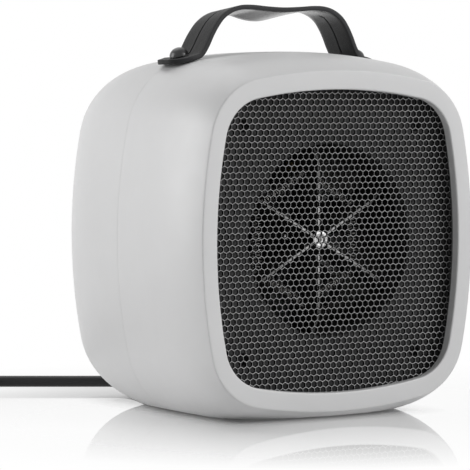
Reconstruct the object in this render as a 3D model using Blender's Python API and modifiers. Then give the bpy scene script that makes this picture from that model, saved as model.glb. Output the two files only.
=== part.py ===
"""Compact fan heater: bulged square casing, dished mesh front, strap handle.

Metres, +Z up. The front faces -Y. The origin is on the floor under the middle
of the casing. Run with: blender --background --python part.py
"""
import math

import bmesh
import bpy
from mathutils import Matrix, Vector
from mathutils.geometry import interpolate_bezier

# Gaps and cuts
FIT_GAP = 0.0003
CUT_OVERRUN = 0.002
RUNNING_GAP = 0.0004

# Casing, as seen from the front and along its depth
FACE_HALF_WIDTH = 0.0820
FACE_HALF_HEIGHT = 0.0862
FACE_CORNER_RADIUS = 0.0325
BELLY_SIDE_BULGE = 0.0073
BELLY_TOP_BULGE = 0.0102
BELLY_CORNER_RADIUS = 0.0420
REAR_INSET = 0.0270
REAR_CORNER_RADIUS = 0.0230
SIDE_ARC_RADIUS = 0.2780
CASING_DEPTH = 0.1500
SEAM_DEPTH = 0.0720
SEAM_GAP = 0.0004
WALL = 0.0024
UNDERSIDE_HEIGHT = 0.0012
UNDERSIDE_CUT = 0.0072
BULGE_POWER = 4.1
REAR_POWER = 2.5
SIDE_STEPS = 3
CORNER_STEPS = 5
TOP_STEPS = 3
FRONT_STATION_SHARES = (0.0, 0.035, 0.11, 0.22, 0.42, 0.68, 1.0)
FRONT_INNER_SHARES = (1.0, 0.42, 0.16, 0.07)
REAR_STATION_SHARES = (0.0, 0.32, 0.57, 0.76, 0.89, 0.965, 1.0)
REAR_INNER_SHARES = (0.0, 0.5, 0.78, 0.95, 1.0)

# Bezel and the opening in it
LIP_WIDTH = 0.0006
BEZEL_THICKNESS = 0.0022
BEZEL_SIDE_WIDTH = 0.0086
BEZEL_TOP_WIDTH = 0.0096
OPENING_ARC_RADIUS = 0.2690
OPENING_CORNER_RADIUS = 0.0236
BEZEL_WALL = 0.0020
BEZEL_WALL_DEPTH = 0.0035
BEZEL_EDGE_ROUND = 0.0008

# Mesh front: a dished sheet with its rim turned forward
MESH_DEPTH = 0.0085
MESH_THICKNESS = 0.0007
MESH_DISH_SIDE = 0.0015
MESH_DISH_TOP = 0.0040
MESH_RIM_THICKNESS = 0.0008
MESH_HOLE_PITCH = 0.0168
MESH_WEB = 0.0022
MESH_BORDER = 0.0022
HEXAGON_SIDES = 6

# Baffle plate, its collar and its screw wells
BAFFLE_DEPTH = 0.0102
BAFFLE_THICKNESS = 0.0018
BAFFLE_RIM = 0.0014
COLLAR_RADIUS = 0.0490
COLLAR_WALL = 0.0016
COLLAR_LENGTH = 0.0080
WELL_SIDE_MARGIN = 0.0222
WELL_TOP_MARGIN = 0.0190
WELL_RADIUS = 0.0034
WELL_WALL = 0.0014
WELL_DEPTH = 0.0050
WELL_FLOOR = 0.0025
WELL_SIDES = 12

# Housing screws and the posts that take them
SCREW_RADIUS = 0.0015
SCREW_HEAD_RADIUS = 0.0028
SCREW_HEAD_HEIGHT = 0.0020
SCREW_LENGTH = 0.0140
SCREW_SIDES = 8
POST_RADIUS = 0.0040

# Duct
DUCT_WALL = 0.0012
DUCT_START = 0.0126
DUCT_END = 0.0760
DUCT_FLANGE = 0.0050
DUCT_SIDES = 36

# Mica frame and heating coil
MICA_FRONT = 0.0205
MICA_REAR = 0.0460
MICA_THICKNESS = 0.0010
MICA_SHOULDER_RADIUS = 0.0385
MICA_SHOULDER_DROP = 0.0080
COIL_RING_RADIUS = 0.0340
COIL_DEPTH = 0.0340
COIL_CURL_RADIUS = 0.0028
COIL_WIRE_RADIUS = 0.0004
COIL_CURLS_PER_SIDE = 4
COIL_POINTS_PER_CURL = 8
COIL_CORNER_RUN = 0.0022
COIL_TAIL = 0.0090
ARM_COUNT = 6
HUB_RADIUS = 0.0044
HUB_LENGTH = 0.0014
HUB_BORE = 0.0012
TERMINAL_SIZE = 0.0050
TERMINAL_THICKNESS = 0.0012
TERMINAL_LENGTH = 0.0045

# Thermal cut-out and fuse on the duct
CUTOUT_RADIUS = 0.0080
CUTOUT_HEIGHT = 0.0060
CUTOUT_DEPTH = 0.0400
CUTOUT_TAB_LENGTH = 0.0070
CUTOUT_TAB_THICKNESS = 0.0008
CUTOUT_TAB_WIDTH = 0.0048
FUSE_RADIUS = 0.0020
FUSE_LENGTH = 0.0120
FUSE_TURN = 35.0

# Fan
FAN_DEPTH = 0.0580
FAN_RADIUS = 0.0478
FAN_HUB_RADIUS = 0.0140
FAN_HUB_LENGTH = 0.0160
FAN_HUB_WALL = 0.0016
FAN_HUB_ROUND = 0.0030
FAN_BLADES = 5
BLADE_THICKNESS = 0.0014
BLADE_ROOT_CHORD = 0.0170
BLADE_TIP_CHORD = 0.0310
BLADE_ROOT_PITCH = 40.0
BLADE_TIP_PITCH = 24.0
BLADE_CAMBER = 0.0016
SHAFT_RADIUS = 0.0016
SHAFT_START = 0.0515
SHAFT_END = 0.1120

# Motor
BRACKET_THICKNESS = 0.0015
BRACKET_WIDTH = 0.0140
BRACKET_SCREW_LENGTH = 0.0060
BRIDGE_LENGTH = 0.0060
BRIDGE_THICKNESS = 0.0022
BRIDGE_HALF_SPAN = 0.0170
BRIDGE_WIDTH = 0.0110
STACK_THICKNESS = 0.0160
STACK_HALF_WIDTH = 0.0240
STACK_BELOW = 0.0210
STACK_ABOVE = 0.0440
ROTOR_RADIUS = 0.0126
WINDOW_HALF_WIDTH = 0.0150
WINDOW_LOW = 0.0190
WINDOW_HIGH = 0.0330
WINDING_HALF_LENGTH = 0.0120
WINDING_BUILD = 0.0060
MOTOR_SCREW_OFFSET = 0.0140

# Rocker switch at the back
SWITCH_TOP_MARGIN = 0.0134
SWITCH_HALF_WIDTH = 0.0065
SWITCH_HALF_HEIGHT = 0.0100
SWITCH_FLANGE = 0.0016
SWITCH_FLANGE_THICKNESS = 0.0014
SWITCH_BODY_LENGTH = 0.0150
SWITCH_WALL = 0.0012
ROCKER_HALF_LENGTH = 0.0078
ROCKER_HALF_DEPTH = 0.0024
ROCKER_WAIST = 0.0012
ROCKER_KEEL = 0.0042
ROCKER_PIVOT_DEPTH = 0.0
ROCKER_TILT = 9.0

# Air inlet slots in the back
INLET_MARGIN = 0.0014
INLET_SLOT_HEIGHT = 0.0036
INLET_SLOT_PITCH = 0.0084
INLET_ROWS = 9
INLET_RIB = 0.0030

# Tip-over switch
TIP_BEHIND_SEAM = 0.0240
TIP_HALF_WIDTH = 0.0080
TIP_HALF_DEPTH = 0.0060
TIP_HEIGHT = 0.0160
PLUNGER_RADIUS = 0.0028
PLUNGER_TRAVEL = 0.0040
PLUNGER_COLLAR = 0.0040
PLUNGER_COLLAR_HEIGHT = 0.0020
PLUNGER_TIP_HEIGHT = 0.0001
TIP_WALL = 0.0014

# Terminal block and inner wires
BLOCK_OFFSET_X = -0.0205
BLOCK_BEHIND_SEAM = 0.0300
BLOCK_HALF_LENGTH = 0.0100
BLOCK_HALF_WIDTH = 0.0080
BLOCK_HEIGHT = 0.0120
WIRE_RADIUS = 0.0012

# Feet
FOOT_RADIUS = 0.0065
FOOT_STEM_RADIUS = 0.0028
FOOT_BARB_RADIUS = 0.0040
FOOT_BARB_HEIGHT = 0.0024
FRONT_FOOT_X = 0.0380
FRONT_FOOT_DEPTH = 0.0390
REAR_FOOT_X = 0.0360
REAR_FOOT_BEHIND_SEAM = 0.0330
FOOT_SIDES = 12

# Strap handle
STRAP_SEAM_MARGIN = 0.0042
STRAP_SIDE_MARGIN = 0.0247
STRAP_RISE = 0.0222
STRAP_LEAN = 0.0008
STRAP_WIDTH = 0.0260
STRAP_THICKNESS = 0.0024
STRAP_DROOP = 0.0045
STRAP_END_ROUND = 0.0125
STRAP_SEAT_GAP = 0.0005
STRAP_FOOT_MARGIN = 0.0046
RIVET_MARGIN = 0.0106
RIVET_HEAD_RADIUS = 0.0050
RIVET_HEAD_HEIGHT = 0.0044
RIVET_RADIUS = 0.0019
RIVET_TAIL_RADIUS = 0.0030
RIVET_TAIL_HEIGHT = 0.0010
WASHER_RADIUS = 0.0034
WASHER_THICKNESS = 0.0010
WASHER_SEAT_GAP = 0.0007
RIVET_SIDES = 12
# Half of the strap's arch from its middle to its foot: share of the foot's place, and how far
# it stands off the casing as a share of the rise
STRAP_ARCH_SHARES = (
    (0.0, 0.907), (0.2004, 0.933), (0.3907, 0.984), (0.5324, 0.994), (0.6518, 0.933),
    (0.7449, 0.811), (0.8158, 0.628), (0.8684, 0.44), (0.915, 0.238), (0.9595, 0.085),
    (1.0, 0.01),
)
# The strap's end from its rivet to its tip: share of the way, and the same share of the rise
STRAP_END_SHARES = ((0.0, 0.0), (0.297, 0.008), (0.636, 0.055), (1.0, 0.144))
STRAP_DROOP_REACH_SHARE = 0.473

# Mains cord, its strain relief, coil, tie and plug
CORD_RADIUS = 0.00315
GLAND_X = -0.0020
GLAND_HEIGHT = 0.0195
GLAND_HOLE_RADIUS = 0.0046
GLAND_FLANGE_RADIUS = 0.0056
GLAND_FLANGE_THICKNESS = 0.0020
GLAND_ROOT_RADIUS = 0.0050
GLAND_TIP_RADIUS = 0.0036
GLAND_LENGTH_POINTS = 5
GLAND_INNER_LENGTH = 0.0060
COIL_CENTRE_X = -0.1506
COIL_CENTRE_Y = 0.1433
CORD_COIL_MEAN_RADIUS = 0.0384
CORD_COIL_PITCH = 0.0069
CORD_COIL_TURNS = 5.117
CORD_COIL_START = 58.0
CORD_COIL_FLOOR = 0.0044
CORD_POINTS_PER_TURN = 24
TIE_ANGLE = 300.0
TIE_THICKNESS = 0.0008
TIE_WIDTH = 0.0090
TIE_SIDE_GAP = 0.0008
PLUG_LENGTH = 0.0340
PLUG_HALF_WIDTH = 0.0130
PLUG_HALF_THICKNESS = 0.0068
PLUG_NECK_RADIUS = 0.0044
PLUG_NECK_LENGTH = 0.0100
PIN_RADIUS = 0.0020
PIN_LENGTH = 0.0190
PIN_SPACING = 0.0190
# Centre line of the cord from the back of the casing to its coil, laid on the floor
CORD_ROUTE = (
    (-0.0020, 0.0732, 0.0195), (-0.0020, 0.0792, 0.0192), (-0.0020, 0.0852, 0.0178),
    (-0.0025, 0.0912, 0.0156), (-0.0039, 0.0970, 0.0123), (-0.0063, 0.1025, 0.0086),
    (-0.0096, 0.1075, 0.0058), (-0.0136, 0.1119, 0.0040), (-0.0183, 0.1156, 0.0032),
    (-0.0247, 0.1196, 0.0032), (-0.0332, 0.1249, 0.0032), (-0.0428, 0.1309, 0.0032),
    (-0.0530, 0.1373, 0.0032), (-0.0649, 0.1447, 0.0032), (-0.0767, 0.1521, 0.0032),
    (-0.0886, 0.1595, 0.0032), (-0.1005, 0.1669, 0.0036), (-0.1123, 0.1744, 0.0042),
    (-0.1256, 0.1833, 0.0044),
)
# Centre line of the cord from its coil to its plug
TAIL_ROUTE = (
    (-0.1588, 0.1898, 0.0113), (-0.1654, 0.1887, 0.0112), (-0.1735, 0.1865, 0.0106),
    (-0.1816, 0.1830, 0.0094), (-0.1892, 0.1781, 0.0074), (-0.1955, 0.1714, 0.0054),
    (-0.2001, 0.1633, 0.0040), (-0.2033, 0.1526, 0.0033), (-0.2041, 0.1414, 0.0036),
    (-0.2030, 0.1322, 0.0052), (-0.2010, 0.1240, 0.0067), (-0.1989, 0.1165, 0.0070),
)

BELLY_HALF_WIDTH = FACE_HALF_WIDTH + BELLY_SIDE_BULGE
BELLY_HALF_HEIGHT = FACE_HALF_HEIGHT + BELLY_TOP_BULGE
CENTRE_HEIGHT = UNDERSIDE_HEIGHT + BELLY_HALF_HEIGHT - UNDERSIDE_CUT
OPENING_HALF_WIDTH = FACE_HALF_WIDTH - BEZEL_SIDE_WIDTH
OPENING_HALF_HEIGHT = FACE_HALF_HEIGHT - BEZEL_TOP_WIDTH
WELL_OFFSET_X = OPENING_HALF_WIDTH - WELL_SIDE_MARGIN
WELL_OFFSET_Z = OPENING_HALF_HEIGHT - WELL_TOP_MARGIN
SWITCH_RISE = BELLY_HALF_HEIGHT - REAR_INSET - SWITCH_TOP_MARGIN
INLET_RADIUS = SWITCH_RISE - SWITCH_HALF_HEIGHT - SWITCH_FLANGE - INLET_MARGIN
TIP_DEPTH = SEAM_DEPTH + TIP_BEHIND_SEAM
BLOCK_DEPTH = SEAM_DEPTH + BLOCK_BEHIND_SEAM
REAR_FOOT_DEPTH = SEAM_DEPTH + REAR_FOOT_BEHIND_SEAM
STRAP_DEPTH = SEAM_DEPTH - STRAP_SEAM_MARGIN
STRAP_HALF_LENGTH = BELLY_HALF_WIDTH - STRAP_SIDE_MARGIN
RIVET_OFFSET = STRAP_HALF_LENGTH - RIVET_MARGIN
SWITCH_PROUD = (
    ROCKER_PIVOT_DEPTH + ROCKER_HALF_LENGTH * math.sin(math.radians(ROCKER_TILT))
    + ROCKER_HALF_DEPTH * math.cos(math.radians(ROCKER_TILT))
)
FACE_Y = -(CASING_DEPTH + SWITCH_PROUD) / 2
PARTS = None
CUTTERS = None


def at(depth):
    """World Y of a point this far behind the face."""
    return FACE_Y + depth


def clear_scene():
    for old in list(bpy.data.objects):
        bpy.data.objects.remove(old, do_unlink=True)


def new_collection(name):
    made = bpy.data.collections.new(name)
    bpy.context.scene.collection.children.link(made)
    return made


def material(name, colour, roughness, metallic=0.0):
    """A plain Principled finish, made once for each name."""
    found = bpy.data.materials.get(name)
    if found:
        return found
    made = bpy.data.materials.new(name)
    made.use_nodes = True
    shader = made.node_tree.nodes["Principled BSDF"]
    shader.inputs["Base Color"].default_value = (*colour, 1.0)
    shader.inputs["Roughness"].default_value = roughness
    shader.inputs["Metallic"].default_value = metallic
    return made


def casing_plastic():
    return material("casing_plastic", (0.62, 0.62, 0.62), 0.45)


def dark_plastic():
    return material("dark_plastic", (0.035, 0.035, 0.037), 0.5)


def black_steel():
    return material("black_steel", (0.09, 0.09, 0.09), 0.4, 0.6)


def plain_steel():
    return material("plain_steel", (0.55, 0.55, 0.56), 0.35, 1.0)


def mica():
    return material("mica", (0.55, 0.50, 0.42), 0.4)


def heating_wire():
    return material("heating_wire", (0.35, 0.34, 0.33), 0.35, 1.0)


def brass():
    return material("brass", (0.72, 0.55, 0.25), 0.3, 1.0)


def copper_winding():
    return material("copper_winding", (0.60, 0.26, 0.12), 0.35, 0.8)


def strap_leather():
    return material("strap_leather", (0.05, 0.05, 0.05), 0.5)


def black_rubber():
    return material("black_rubber", (0.02, 0.02, 0.02), 0.7)


def add_object(name, mesh, finish, collection=None):
    made = bpy.data.objects.new(name, mesh)
    (collection or PARTS).objects.link(made)
    mesh.materials.append(finish)
    return made


def mesh_from(name, work, finish, smooth=0.0, collection=None):
    """Turn a bmesh into a named object, shaded smooth below the given angle in degrees."""
    bmesh.ops.recalc_face_normals(work, faces=work.faces)
    mesh = bpy.data.meshes.new(name)
    work.to_mesh(mesh)
    work.free()
    if smooth:
        mesh.shade_smooth()
        mesh.set_sharp_from_angle(angle=math.radians(smooth))
    return add_object(name, mesh, finish, collection)


def loft(name, rings, finish, closed=False, smooth=0.0, collection=None):
    """Skin rings of equal point counts, as a loop of rings or capped at both ends."""
    work = bmesh.new()
    rows = [[work.verts.new(point) for point in ring] for ring in rings]
    following = rows[1:] + rows[:1] if closed else rows[1:]
    for near, far in zip(rows, following):
        for i in range(len(near)):
            work.faces.new((near[i], near[i - 1], far[i - 1], far[i]))
    if not closed:
        work.faces.new(rows[0])
        work.faces.new(rows[-1][::-1])
    return mesh_from(name, work, finish, smooth, collection)


def block(name, low, high, finish, collection=None):
    """A box between two corners, from a primitive cube."""
    low, high = Vector(low), Vector(high)
    work = bmesh.new()
    place = Matrix.Translation((low + high) / 2) @ Matrix.Diagonal((*(high - low), 1))
    bmesh.ops.create_cube(work, size=1, matrix=place)
    return mesh_from(name, work, finish, collection=collection)


def rod(name, start, end, radius, finish, sides=16, end_radius=None, collection=None):
    """A cylinder or cone between two points."""
    start, end = Vector(start), Vector(end)
    run = end - start
    work = bmesh.new()
    place = Matrix.Translation((start + end) / 2) @ run.to_track_quat("Z", "Y").to_matrix().to_4x4()
    bmesh.ops.create_cone(
        work, cap_ends=True, segments=sides, radius1=radius,
        radius2=radius if end_radius is None else end_radius, depth=run.length, matrix=place,
    )
    return mesh_from(name, work, finish, 40, collection)


def turned(name, profile, finish, centre, axis, sides, collection=None):
    """A turned piece: points of (radius, height), down the outer side, about an axis."""
    mesh = bpy.data.meshes.new(name)
    work = bmesh.new()
    points = [work.verts.new((radius, 0, height)) for radius, height in profile]
    last = len(points) if profile[0][0] > 0 else len(points) - 1
    for i in range(last):
        work.edges.new((points[i], points[(i + 1) % len(points)]))
    work.to_mesh(mesh)
    work.free()
    made = add_object(name, mesh, finish, collection)
    made.location = centre
    made.rotation_euler = Vector(axis).to_track_quat("Z", "Y").to_euler()
    screw = made.modifiers.new("turn", "SCREW")
    screw.steps = sides
    screw.render_steps = sides
    screw.use_merge_vertices = True
    screw.merge_threshold = 0.00001
    screw.use_smooth_shade = True
    return made


def cut(target, cutter, operation="DIFFERENCE"):
    """Boolean a hidden cutter with a target."""
    cutter.hide_render = True
    cutter.display_type = "WIRE"
    change = target.modifiers.new(cutter.name, "BOOLEAN")
    change.operation = operation
    change.solver = "EXACT"
    change.object = cutter


def joined(name, pieces, finish, collection=None):
    """One object made of several separate bodies."""
    work = bmesh.new()
    graph = bpy.context.evaluated_depsgraph_get()
    for piece in pieces:
        mesh = bpy.data.meshes.new_from_object(piece.evaluated_get(graph))
        mesh.transform(piece.matrix_world)
        work.from_mesh(mesh)
        bpy.data.meshes.remove(mesh)
    for piece in pieces:
        bpy.data.objects.remove(piece, do_unlink=True)
    mesh = bpy.data.meshes.new(name)
    work.to_mesh(mesh)
    work.free()
    return add_object(name, mesh, finish, collection)


def smooth_path(points, per_span):
    """Points on a smooth curve through the given points, turning at each with its neighbours."""
    path = []
    points = [Vector(point) for point in points]
    for i in range(len(points) - 1):
        before = points[max(i - 1, 0)]
        start, end = points[i], points[i + 1]
        after = points[min(i + 2, len(points) - 1)]
        reach = (end - start).length / 3
        first_handle = start + (end - before).normalized() * reach
        last_handle = end - (after - start).normalized() * reach
        span = interpolate_bezier(start, first_handle, last_handle, end, per_span + 1)
        path.extend(span[:-1])
    path.append(points[-1])
    return path


def tube(name, points, radius, finish, resolution=2, radius_shares=None):
    """A round tube along points, as a capped poly curve."""
    curve = bpy.data.curves.new(name, "CURVE")
    curve.dimensions = "3D"
    curve.bevel_depth = radius
    curve.bevel_resolution = resolution
    curve.use_fill_caps = True
    spline = curve.splines.new("POLY")
    spline.points.add(len(points) - 1)
    for i, (place, point) in enumerate(zip(points, spline.points)):
        point.co = (*place, 1)
        point.radius = radius_shares[i] if radius_shares else 1
    curve.materials.append(finish)
    made = bpy.data.objects.new(name, curve)
    PARTS.objects.link(made)
    return made


def welded_mesh(curve_object):
    """The curve object as a mesh with its caps welded, under the same name."""
    name = curve_object.name
    graph = bpy.context.evaluated_depsgraph_get()
    mesh = bpy.data.meshes.new_from_object(curve_object.evaluated_get(graph))
    place = curve_object.matrix_world.copy()
    bpy.data.objects.remove(curve_object, do_unlink=True)
    work = bmesh.new()
    work.from_mesh(mesh)
    bmesh.ops.remove_doubles(work, verts=work.verts, dist=0.000001)
    work.to_mesh(mesh)
    work.free()
    made = bpy.data.objects.new(name, mesh)
    made.matrix_world = place
    PARTS.objects.link(made)
    return made


def flat_plate(name, outlines, thickness, finish, collection=None):
    """A plate in the XY plane from closed outlines, the later ones being holes."""
    curve = bpy.data.curves.new(name, "CURVE")
    curve.dimensions = "2D"
    curve.fill_mode = "BOTH"
    curve.extrude = thickness / 2
    for outline in outlines:
        spline = curve.splines.new("POLY")
        spline.points.add(len(outline) - 1)
        for point, (across, up) in zip(spline.points, outline):
            point.co = (across, up, 0, 1)
        spline.use_cyclic_u = True
    made = bpy.data.objects.new(name, curve)
    (collection or PARTS).objects.link(made)
    graph = bpy.context.evaluated_depsgraph_get()
    mesh = bpy.data.meshes.new_from_object(made.evaluated_get(graph))
    bpy.data.objects.remove(made, do_unlink=True)
    work = bmesh.new()
    work.from_mesh(mesh)
    bpy.data.meshes.remove(mesh)
    bmesh.ops.remove_doubles(work, verts=work.verts, dist=0.000001)
    return mesh_from(name, work, finish, collection=collection)


def ring_of(radius, count, start=0.0):
    """Points round a circle."""
    angles = [start + math.tau * i / count for i in range(count)]
    return [(radius * math.cos(angle), radius * math.sin(angle)) for angle in angles]


def arc_points(centre, radius, first, last, steps):
    """Points along an arc, without its last one."""
    angles = [first + (last - first) * i / steps for i in range(steps)]
    return [(centre[0] + radius * math.cos(a), centre[1] + radius * math.sin(a)) for a in angles]


def bulged_outline(half_width, half_height, side_radius, corner_radius):
    """A rounded rectangle whose sides are shallow arcs, as points from +X round to +X."""
    side_centre = (half_width - side_radius, 0)
    top_centre = (0, half_height - side_radius)
    reach = side_radius - corner_radius
    span = math.hypot(side_centre[0], top_centre[1])
    rise = math.sqrt(reach ** 2 - (span / 2) ** 2)
    corner = (
        side_centre[0] / 2 - top_centre[1] / span * rise,
        top_centre[1] / 2 - side_centre[0] / span * rise,
    )
    low = math.atan2(corner[1], corner[0] - side_centre[0])
    high = math.atan2(corner[1] - top_centre[1], corner[0])
    quarter = arc_points(side_centre, side_radius, 0, low, SIDE_STEPS)
    quarter += arc_points(corner, corner_radius, low, high, CORNER_STEPS)
    quarter += arc_points(top_centre, side_radius, high, math.pi / 2, TOP_STEPS)
    quarter.append((0, half_height))
    mirrored = [(-x, z) for x, z in reversed(quarter)]
    upper = quarter[:-1] + mirrored[:-1]
    return upper + [(-x, -z) for x, z in upper]


def casing_sizes(depth, inset):
    """Half width, half height and radii of the casing's section at a depth."""
    if depth <= SEAM_DEPTH:
        share = 1 - (1 - depth / SEAM_DEPTH) ** BULGE_POWER
        wide = FACE_HALF_WIDTH + (BELLY_HALF_WIDTH - FACE_HALF_WIDTH) * share
        high = FACE_HALF_HEIGHT + (BELLY_HALF_HEIGHT - FACE_HALF_HEIGHT) * share
        corner = FACE_CORNER_RADIUS + (BELLY_CORNER_RADIUS - FACE_CORNER_RADIUS) * share
    else:
        along = min((depth - SEAM_DEPTH) / (CASING_DEPTH - inset - SEAM_DEPTH), 1)
        share = 1 - (1 - along ** REAR_POWER) ** (1 / REAR_POWER)
        wide = BELLY_HALF_WIDTH - REAR_INSET * share
        high = BELLY_HALF_HEIGHT - REAR_INSET * share
        corner = BELLY_CORNER_RADIUS + (REAR_CORNER_RADIUS - BELLY_CORNER_RADIUS) * share
    return wide - inset, high - inset, SIDE_ARC_RADIUS - inset, corner - inset


def casing_ring(depth, inset=0.0):
    """The casing's outline at a depth, cut flat along its underside."""
    floor = UNDERSIDE_HEIGHT + inset
    outline = bulged_outline(*casing_sizes(depth, inset))
    return [(x, at(depth), max(CENTRE_HEIGHT + z, floor)) for x, z in outline]


def casing_heights(x, depth, inset):
    """Heights at which the faceted casing's section passes a place across it."""
    ring = casing_ring(depth, inset)
    heights = []
    for i in range(len(ring)):
        first, second = ring[i - 1], ring[i]
        if (first[0] - x) * (second[0] - x) <= 0 and first[0] != second[0]:
            share = (x - first[0]) / (second[0] - first[0])
            heights.append(first[2] + share * (second[2] - first[2]))
    return heights


def casing_top(x, depth):
    return max(casing_heights(x, depth, 0.0))


def floor_under(x, depth, half_width, half_depth):
    """Height that clears the casing's inner floor under a piece with these half sizes."""
    return FIT_GAP + max(
        min(casing_heights(x + side * half_width, depth + end * half_depth, WALL))
        for side in (-1, 1) for end in (-1, 1)
    )


def opening_ring(depth, grow):
    """The mouth's outline, grown or shrunk, at one depth."""
    outline = bulged_outline(
        OPENING_HALF_WIDTH + grow, OPENING_HALF_HEIGHT + grow,
        OPENING_ARC_RADIUS + grow, OPENING_CORNER_RADIUS + grow,
    )
    return [(x, at(depth), CENTRE_HEIGHT + z) for x, z in outline]


def mesh_dish(x, z):
    """How far behind the face the dished mesh lies at a place on it."""
    side = MESH_DISH_SIDE * (x / OPENING_HALF_WIDTH) ** 2
    top = MESH_DISH_TOP * (z / OPENING_HALF_HEIGHT) ** 2
    return MESH_DEPTH - side - top


def dished_ring(grow, behind):
    """The mouth's outline laid on the dish, moved back by a distance."""
    flat = opening_ring(0, grow)
    return [(x, at(mesh_dish(x, z - CENTRE_HEIGHT) + behind), z) for x, _, z in flat]


def build_front_shell():
    stations = [share * SEAM_DEPTH for share in FRONT_STATION_SHARES]
    pocket = BEZEL_THICKNESS + FIT_GAP
    outer = [casing_ring(depth) for depth in stations]
    inner = [casing_ring(share * SEAM_DEPTH, WALL) for share in FRONT_INNER_SHARES]
    ledge = [casing_ring(pocket, WALL), casing_ring(pocket, LIP_WIDTH), casing_ring(0, LIP_WIDTH)]
    shell = loft("front_shell", outer + inner + ledge, casing_plastic(), closed=True, smooth=40)
    for side in (-1, 1):
        top, down = strap_seat(side * RIVET_OFFSET)
        hole = rod(
            "rivet_hole_" + side_name(side), top - down * RIVET_HEAD_RADIUS,
            top + down * (WALL + RIVET_HEAD_RADIUS), RIVET_RADIUS + FIT_GAP,
            dark_plastic(), RIVET_SIDES, collection=CUTTERS,
        )
        cut(shell, hole)
        cut(shell, foot_hole(side * FRONT_FOOT_X, FRONT_FOOT_DEPTH))
    return shell


def foot_hole(x, depth):
    name = "foot_hole_" + side_name(x) + ("_front" if depth < SEAM_DEPTH else "_rear")
    base = (x, at(depth), UNDERSIDE_HEIGHT - CUT_OVERRUN)
    top = (x, at(depth), UNDERSIDE_HEIGHT + WALL + CUT_OVERRUN)
    return rod(name, base, top, FOOT_STEM_RADIUS + FIT_GAP, dark_plastic(), FOOT_SIDES,
               collection=CUTTERS)


def side_name(x):
    return "left" if x < 0 else "right"


def build_rear_shell():
    length = CASING_DEPTH - SEAM_DEPTH - SEAM_GAP
    start = SEAM_DEPTH + SEAM_GAP
    stations = [start + share * length for share in REAR_STATION_SHARES]
    inner_length = length - WALL
    inner_stations = [start + share * inner_length for share in REAR_INNER_SHARES]
    outer = [casing_ring(depth) for depth in reversed(stations)]
    inner = [casing_ring(depth, WALL) for depth in inner_stations]
    shell = loft("rear_shell", outer + inner, casing_plastic(), smooth=40)
    for x, z in well_places():
        place = side_name(x) + ("_low" if z < CENTRE_HEIGHT else "_high")
        front = (x, at(post_start()), z)
        rear = (x, at(CASING_DEPTH - WALL / 2), z)
        post = rod("post_" + place, front, rear, POST_RADIUS, casing_plastic(), WELL_SIDES,
                   collection=CUTTERS)
        cut(shell, post, "UNION")
        bore_front = (x, at(post_start() - CUT_OVERRUN), z)
        bore_rear = (x, at(post_start() + SCREW_LENGTH), z)
        bore = rod("post_bore_" + place, bore_front, bore_rear, SCREW_RADIUS + FIT_GAP,
                   casing_plastic(), SCREW_SIDES, collection=CUTTERS)
        cut(shell, bore)
    cut(shell, inlet_cutter())
    cut(shell, switch_hole())
    gland = rod(
        "gland_hole", (GLAND_X, at(CASING_DEPTH - REAR_INSET), GLAND_HEIGHT),
        (GLAND_X, at(CASING_DEPTH) + CUT_OVERRUN, GLAND_HEIGHT), GLAND_HOLE_RADIUS + FIT_GAP,
        dark_plastic(), WELL_SIDES, collection=CUTTERS,
    )
    cut(shell, gland)
    plunger = rod(
        "plunger_hole", (0, at(TIP_DEPTH), UNDERSIDE_HEIGHT - CUT_OVERRUN),
        (0, at(TIP_DEPTH), UNDERSIDE_HEIGHT + WALL + CUT_OVERRUN), PLUNGER_RADIUS + FIT_GAP,
        dark_plastic(), FOOT_SIDES, collection=CUTTERS,
    )
    cut(shell, plunger)
    for side in (-1, 1):
        cut(shell, foot_hole(side * REAR_FOOT_X, REAR_FOOT_DEPTH))
    return shell


def inlet_cutter():
    """Rows of slots inside a circle, in two halves beside an upright rib."""
    slots = []
    middle = (INLET_ROWS - 1) / 2
    for row in range(INLET_ROWS):
        rise = (row - middle) * INLET_SLOT_PITCH
        chord = INLET_RADIUS ** 2 - rise ** 2
        if chord <= (2 * INLET_RIB) ** 2:
            continue
        far = math.sqrt(chord)
        for side in (-1, 1):
            near_edge, far_edge = sorted((side * INLET_RIB / 2, side * far))
            low = (near_edge, at(CASING_DEPTH - WALL) - CUT_OVERRUN,
                   CENTRE_HEIGHT + rise - INLET_SLOT_HEIGHT / 2)
            high = (far_edge, at(CASING_DEPTH) + CUT_OVERRUN,
                    CENTRE_HEIGHT + rise + INLET_SLOT_HEIGHT / 2)
            name = "slot_" + str(row) + side_name(side)
            slots.append(block(name, low, high, dark_plastic(), CUTTERS))
    return joined("inlet_slots", slots, dark_plastic(), CUTTERS)


def build_front_bezel():
    outer = LIP_WIDTH + FIT_GAP
    rings = [
        casing_ring_whole(0, outer),
        casing_ring_whole(BEZEL_THICKNESS, outer),
        opening_ring(BEZEL_THICKNESS, BEZEL_WALL),
        opening_ring(BEZEL_WALL_DEPTH, BEZEL_WALL),
        opening_ring(BEZEL_WALL_DEPTH, 0),
        opening_ring(BEZEL_EDGE_ROUND, 0),
        opening_ring(0, BEZEL_EDGE_ROUND),
    ]
    return loft("front_bezel", rings, casing_plastic(), closed=True, smooth=30)


def casing_ring_whole(depth, inset):
    """The casing's face outline inset, kept straight along the depth."""
    wide, high, side, corner = casing_sizes(0, inset)
    outline = bulged_outline(wide, high, side, corner)
    return [(x, at(depth), CENTRE_HEIGHT + z) for x, z in outline]


def clearance_inside(outline, x, z):
    """Least distance from a point inside a convex outline to its edges."""
    least = None
    for i in range(len(outline)):
        ax, az = outline[i - 1]
        bx, bz = outline[i]
        length = math.hypot(bx - ax, bz - az)
        inward = ((bx - ax) * (z - az) - (bz - az) * (x - ax)) / length
        least = inward if least is None else min(least, inward)
    return least


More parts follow.
